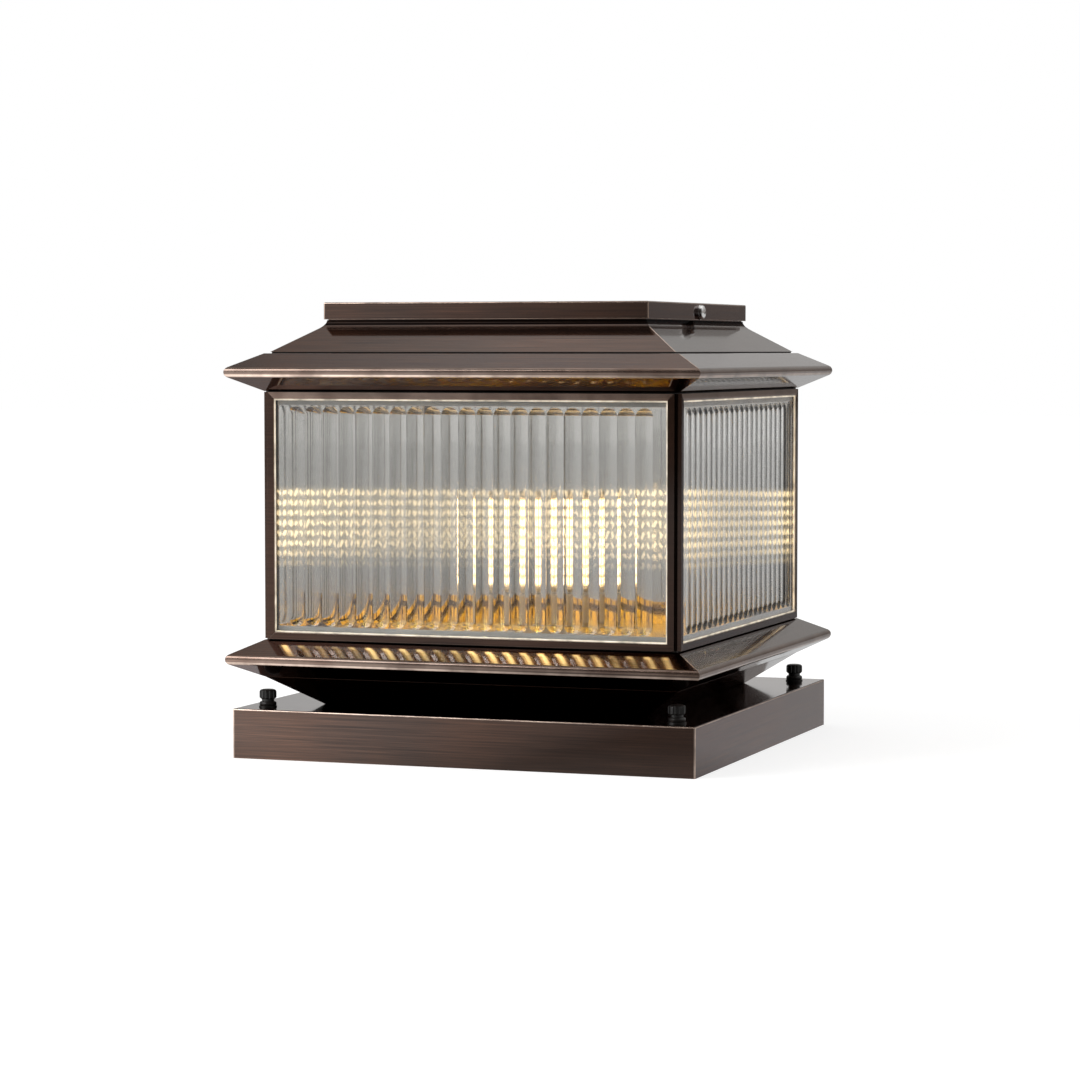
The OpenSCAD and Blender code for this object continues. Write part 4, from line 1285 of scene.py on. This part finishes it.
class MakeStage(bpy.types.Operator):
    """Set up the floor, the lights and the camera"""

    bl_idname = "pillarlight.stage"
    bl_label = "Studio"

    def execute(self, context):
        look = settings().studio
        self.floor(look)
        self.world(look)
        self.lights(look)
        self.camera(look)
        return {"FINISHED"}

    def floor(self, look):
        """A wide pale floor that keeps the object's shadow."""
        floor = primitive("floor", bpy.ops.mesh.primitive_plane_add, size=14, location=(0, 3.0, 0))
        f = Finish("pale_floor")
        ray = f.add("ShaderNodeLightPath").outputs
        seen_light, shine_behind = 0.72, 0.62
        seen = f.larger(ray["Is Camera Ray"], ray["Is Transmission Ray"])
        speck = f.noise(f.spot(), 3.0, 2.0, 0.5)
        pale = f.ramp(speck, (0.3, [0.99 * c for c in look.background]), (0.7, look.background))
        glow = f.add("ShaderNodeEmission", {0: pale, 1: f.times(seen, seen_light)}).outputs[0]
        cloth = f.add("ShaderNodeBsdfDiffuse", {0: rgba((0.5, 0.5, 0.5))}).outputs[0]
        lit = f.add("ShaderNodeAddShader", {0: glow, 1: cloth}).outputs[0]
        x, y, z = f.parts(f.spot())
        toward_box = f.math("DIVIDE", x, f.math("MINIMUM", y, -0.02))
        front = f.between(toward_box, -0.15, 0.75, 0.20, 1.60)
        ahead = f.between(y, -0.30, 0.0, 0.0, 1.0)
        mirrored = f.plus(
            f.times(ahead, shine_behind), f.times(f.minus(1.0, ahead), front)
        )
        shine = f.add("ShaderNodeEmission", {0: pale, 1: mirrored}).outputs[0]
        f.end_with(ray["Is Glossy Ray"], lit, shine)
        floor.data.materials.append(f.material)

    def world(self, look):
        """White backdrop for the camera and the glass, and a studio round it for the metal."""
        world = bpy.data.worlds.new("studio")
        world.use_nodes = True
        bpy.context.scene.world = world
        w = Nodes(world.node_tree)
        ray = w.add("ShaderNodeLightPath").outputs
        way = w.add("ShaderNodeTexCoord").outputs["Generated"]
        x, y, z = w.parts(way)
        walls = w.ramp(z, (0.0, look.horizon), (0.34, look.wall), (0.85, look.ceiling))
        corner = w.between(x, -0.43, -0.35, 0.45, 1.12)
        walls = w.mix(1.0, walls, w.vector(corner, corner, corner), "MULTIPLY")
        around = w.mix(w.between(y, -0.55, -0.05, 0.0, 1.0), rgba(look.room), walls)
        box = w.between(self.nearness(w, way, look.box_way), 0.875, 0.965, 0.0, look.box_light)
        around = w.mix(1.0, around, w.vector(box, box, box), "ADD")
        behind = w.between(self.nearness(w, way, look.view_way), 0.93, 0.965, 0.0, 1.0)
        behind = w.times(behind, w.between(z, 0.0, 0.05, 1.0, 0.45))
        around = w.mix(behind, around, rgba(look.background))
        shown = w.mix(ray["Is Glossy Ray"], rgba([look.fill] * 3), around)
        white = w.larger(ray["Is Camera Ray"], ray["Is Transmission Ray"])
        shown = w.mix(white, shown, rgba(look.background))
        w.join(shown, world.node_tree.nodes["Background"].inputs[0])

    def nearness(self, w, way, aim):
        """How near a direction comes to the one aimed at."""
        dot = w.add("ShaderNodeVectorMath", {0: way, 1: aim}, operation="DOT_PRODUCT")
        return dot.outputs["Value"]

    def lights(self, look):
        """A large soft light at the upper left, and one on each side of the lamp."""
        key_at = Vector((-1.5, -1.3, 1.6))
        self.light("key_light", key_at, Vector((0, 0, 0.15)) - key_at, 1.4, look.key_power)
        middle = (low("lamp_column") + high("lamp_column")) / 2
        reach = high("lamp_chips").x + 0.006
        for i, side in enumerate(SIDES):
            turn = Matrix.Rotation(i * WHOLE_TURN / 4, 3, "Z")
            outward = turn @ Vector((0, -1, 0))
            lamp = settings().lamp
            inside = self.light(
                "lamp_light_" + side, middle + reach * outward, outward, 0.02, lamp.room_power
            )
            inside.data.color = lamp.glow
            inside.visible_camera = False
            inside.visible_glossy = False
            inside.visible_transmission = False
            inside.parent = frame["bodies"]["lamp"]

    def light(self, name, place, aim, size, power):
        """One square light that shines one way."""
        bpy.ops.object.light_add(type="AREA", location=place)
        light = bpy.context.object
        light.name = name
        light.data.size = size
        light.data.energy = power
        light.rotation_euler = aim.to_track_quat("-Z", "Y").to_euler()
        return light

    def camera(self, look):
        """The camera at the photograph's place."""
        bpy.ops.object.camera_add(location=look.camera_at)
        camera = bpy.context.object
        camera.name = "camera"
        camera.rotation_euler = (math.pi / 2 - look.camera_dip, 0, look.camera_yaw)
        camera.data.sensor_width = 36
        camera.data.lens = look.camera_lens
        camera.data.clip_start = 0.05
        camera.data.clip_end = 60
        bpy.context.scene.camera = camera
        bpy.context.scene.view_settings.view_transform = "Standard"
        bpy.context.scene.cycles.sample_clamp_indirect = look.clamp


class MakeFinishes(bpy.types.Operator):
    """Make the finishes and give them to the parts that keep their shape"""

    bl_idname = "pillarlight.finishes"
    bl_label = "Finishes"

    def execute(self, context):
        bronze_finish("brushed_bronze", 0.0)
        # Pale edges: rubbed wear and painted highlight.
        bronze_finish("rubbed_bronze", 0.95)
        bronze_finish("dark_bronze", 0.0, 0.45)
        # Near-black bronze: painted shadow under the cap.
        bronze_finish("blackened_bronze", 0.0, 0.08)
        # Paler copper: wear and painted highlight on the noses, painted reflection on the top
        # channels.
        bronze_finish("worn_copper", 0.20)
        bronze_finish("worn_bronze", 0.30, 0.8)
        glass_finish()
        lamp_finishes()
        bead_finish()
        lining_finish()
        gold_finish()
        for name, colour, rough in (
            ("zinc_plating", (0.60, 0.61, 0.62), 0.35),
            ("bright_stainless", (0.90, 0.89, 0.88), 0.08),
            ("turned_brass", (0.78, 0.57, 0.24), 0.25),
            ("nickel_plating", (0.70, 0.68, 0.64), 0.20),
        ):
            plain_metal(name, colour, rough)
        for name, colour, rough in (
            ("moulded_black", (0.012, 0.011, 0.010), 0.32),
            ("soft_rubber", (0.016, 0.016, 0.015), 0.62),
            ("glazing_tape", (0.92, 0.91, 0.90), 0.6),
            ("seal_rubber", (0.07, 0.065, 0.06), 0.6),
            ("white_shell", (0.82, 0.81, 0.78), 0.35),
            ("brown_sleeve", (0.16, 0.06, 0.025), 0.45),
            ("blue_sleeve", (0.03, 0.10, 0.42), 0.45),
            ("green_sleeve", (0.12, 0.36, 0.05), 0.45),
            ("coated_board", (0.02, 0.13, 0.05), 0.4),
        ):
            moulded(name, colour, rough)
        moulded("glazed_ceramic", (0.80, 0.74, 0.62), 0.25, coat=0.8)
        for part in frame["nodes"].values():
            for slot in part.material_slots:
                slot.material = bpy.data.materials[FINISHES[slot.material.name]]
        # The lamp column gets the painted glow.
        for slot in frame["nodes"]["lamp_column"].material_slots:
            slot.material = bpy.data.materials["lit_column"]
        return {"FINISHED"}


STEPS = (
    MakeFinishes, MakePanels, MakeFoldedParts, MakePanes, MakeBeads, MakeThumbScrews,
    MakeCapScrews, MakeLampCap, MakeStage,
)


class PillarLightPanel(bpy.types.Panel):
    """Lists the steps that make the pillar light."""

    bl_idname = "VIEW3D_PT_pillar_light"
    bl_label = "Pillar light"
    bl_space_type = "VIEW_3D"
    bl_region_type = "UI"
    bl_category = "Pillar light"

    def draw(self, context):
        for step in STEPS:
            self.layout.operator(step.bl_idname)


CLASSES = (
    BronzeSettings, GlassSettings, LampSettings, BeadSettings, ScrewSettings, StudioSettings,
    PillarLightSettings,
    *STEPS, PillarLightPanel,
)


def register():
    """Register the classes and the settings."""
    for item in CLASSES:
        bpy.utils.register_class(item)
    bpy.types.Scene.pillar_light = bpy.props.PointerProperty(type=PillarLightSettings)


def unregister():
    """Remove the settings and the classes."""
    del bpy.types.Scene.pillar_light
    for item in reversed(CLASSES):
        bpy.utils.unregister_class(item)


def main():
    """Run every step in order."""
    register()
    bpy.ops.pillarlight.finishes()
    bpy.ops.pillarlight.panels()
    bpy.ops.pillarlight.folded()
    bpy.ops.pillarlight.panes()
    bpy.ops.pillarlight.beads()
    bpy.ops.pillarlight.thumb_screws()
    bpy.ops.pillarlight.cap_screws()
    bpy.ops.pillarlight.lamp_cap()
    bpy.ops.pillarlight.stage()
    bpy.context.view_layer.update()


if __name__ == "__main__":
    main()
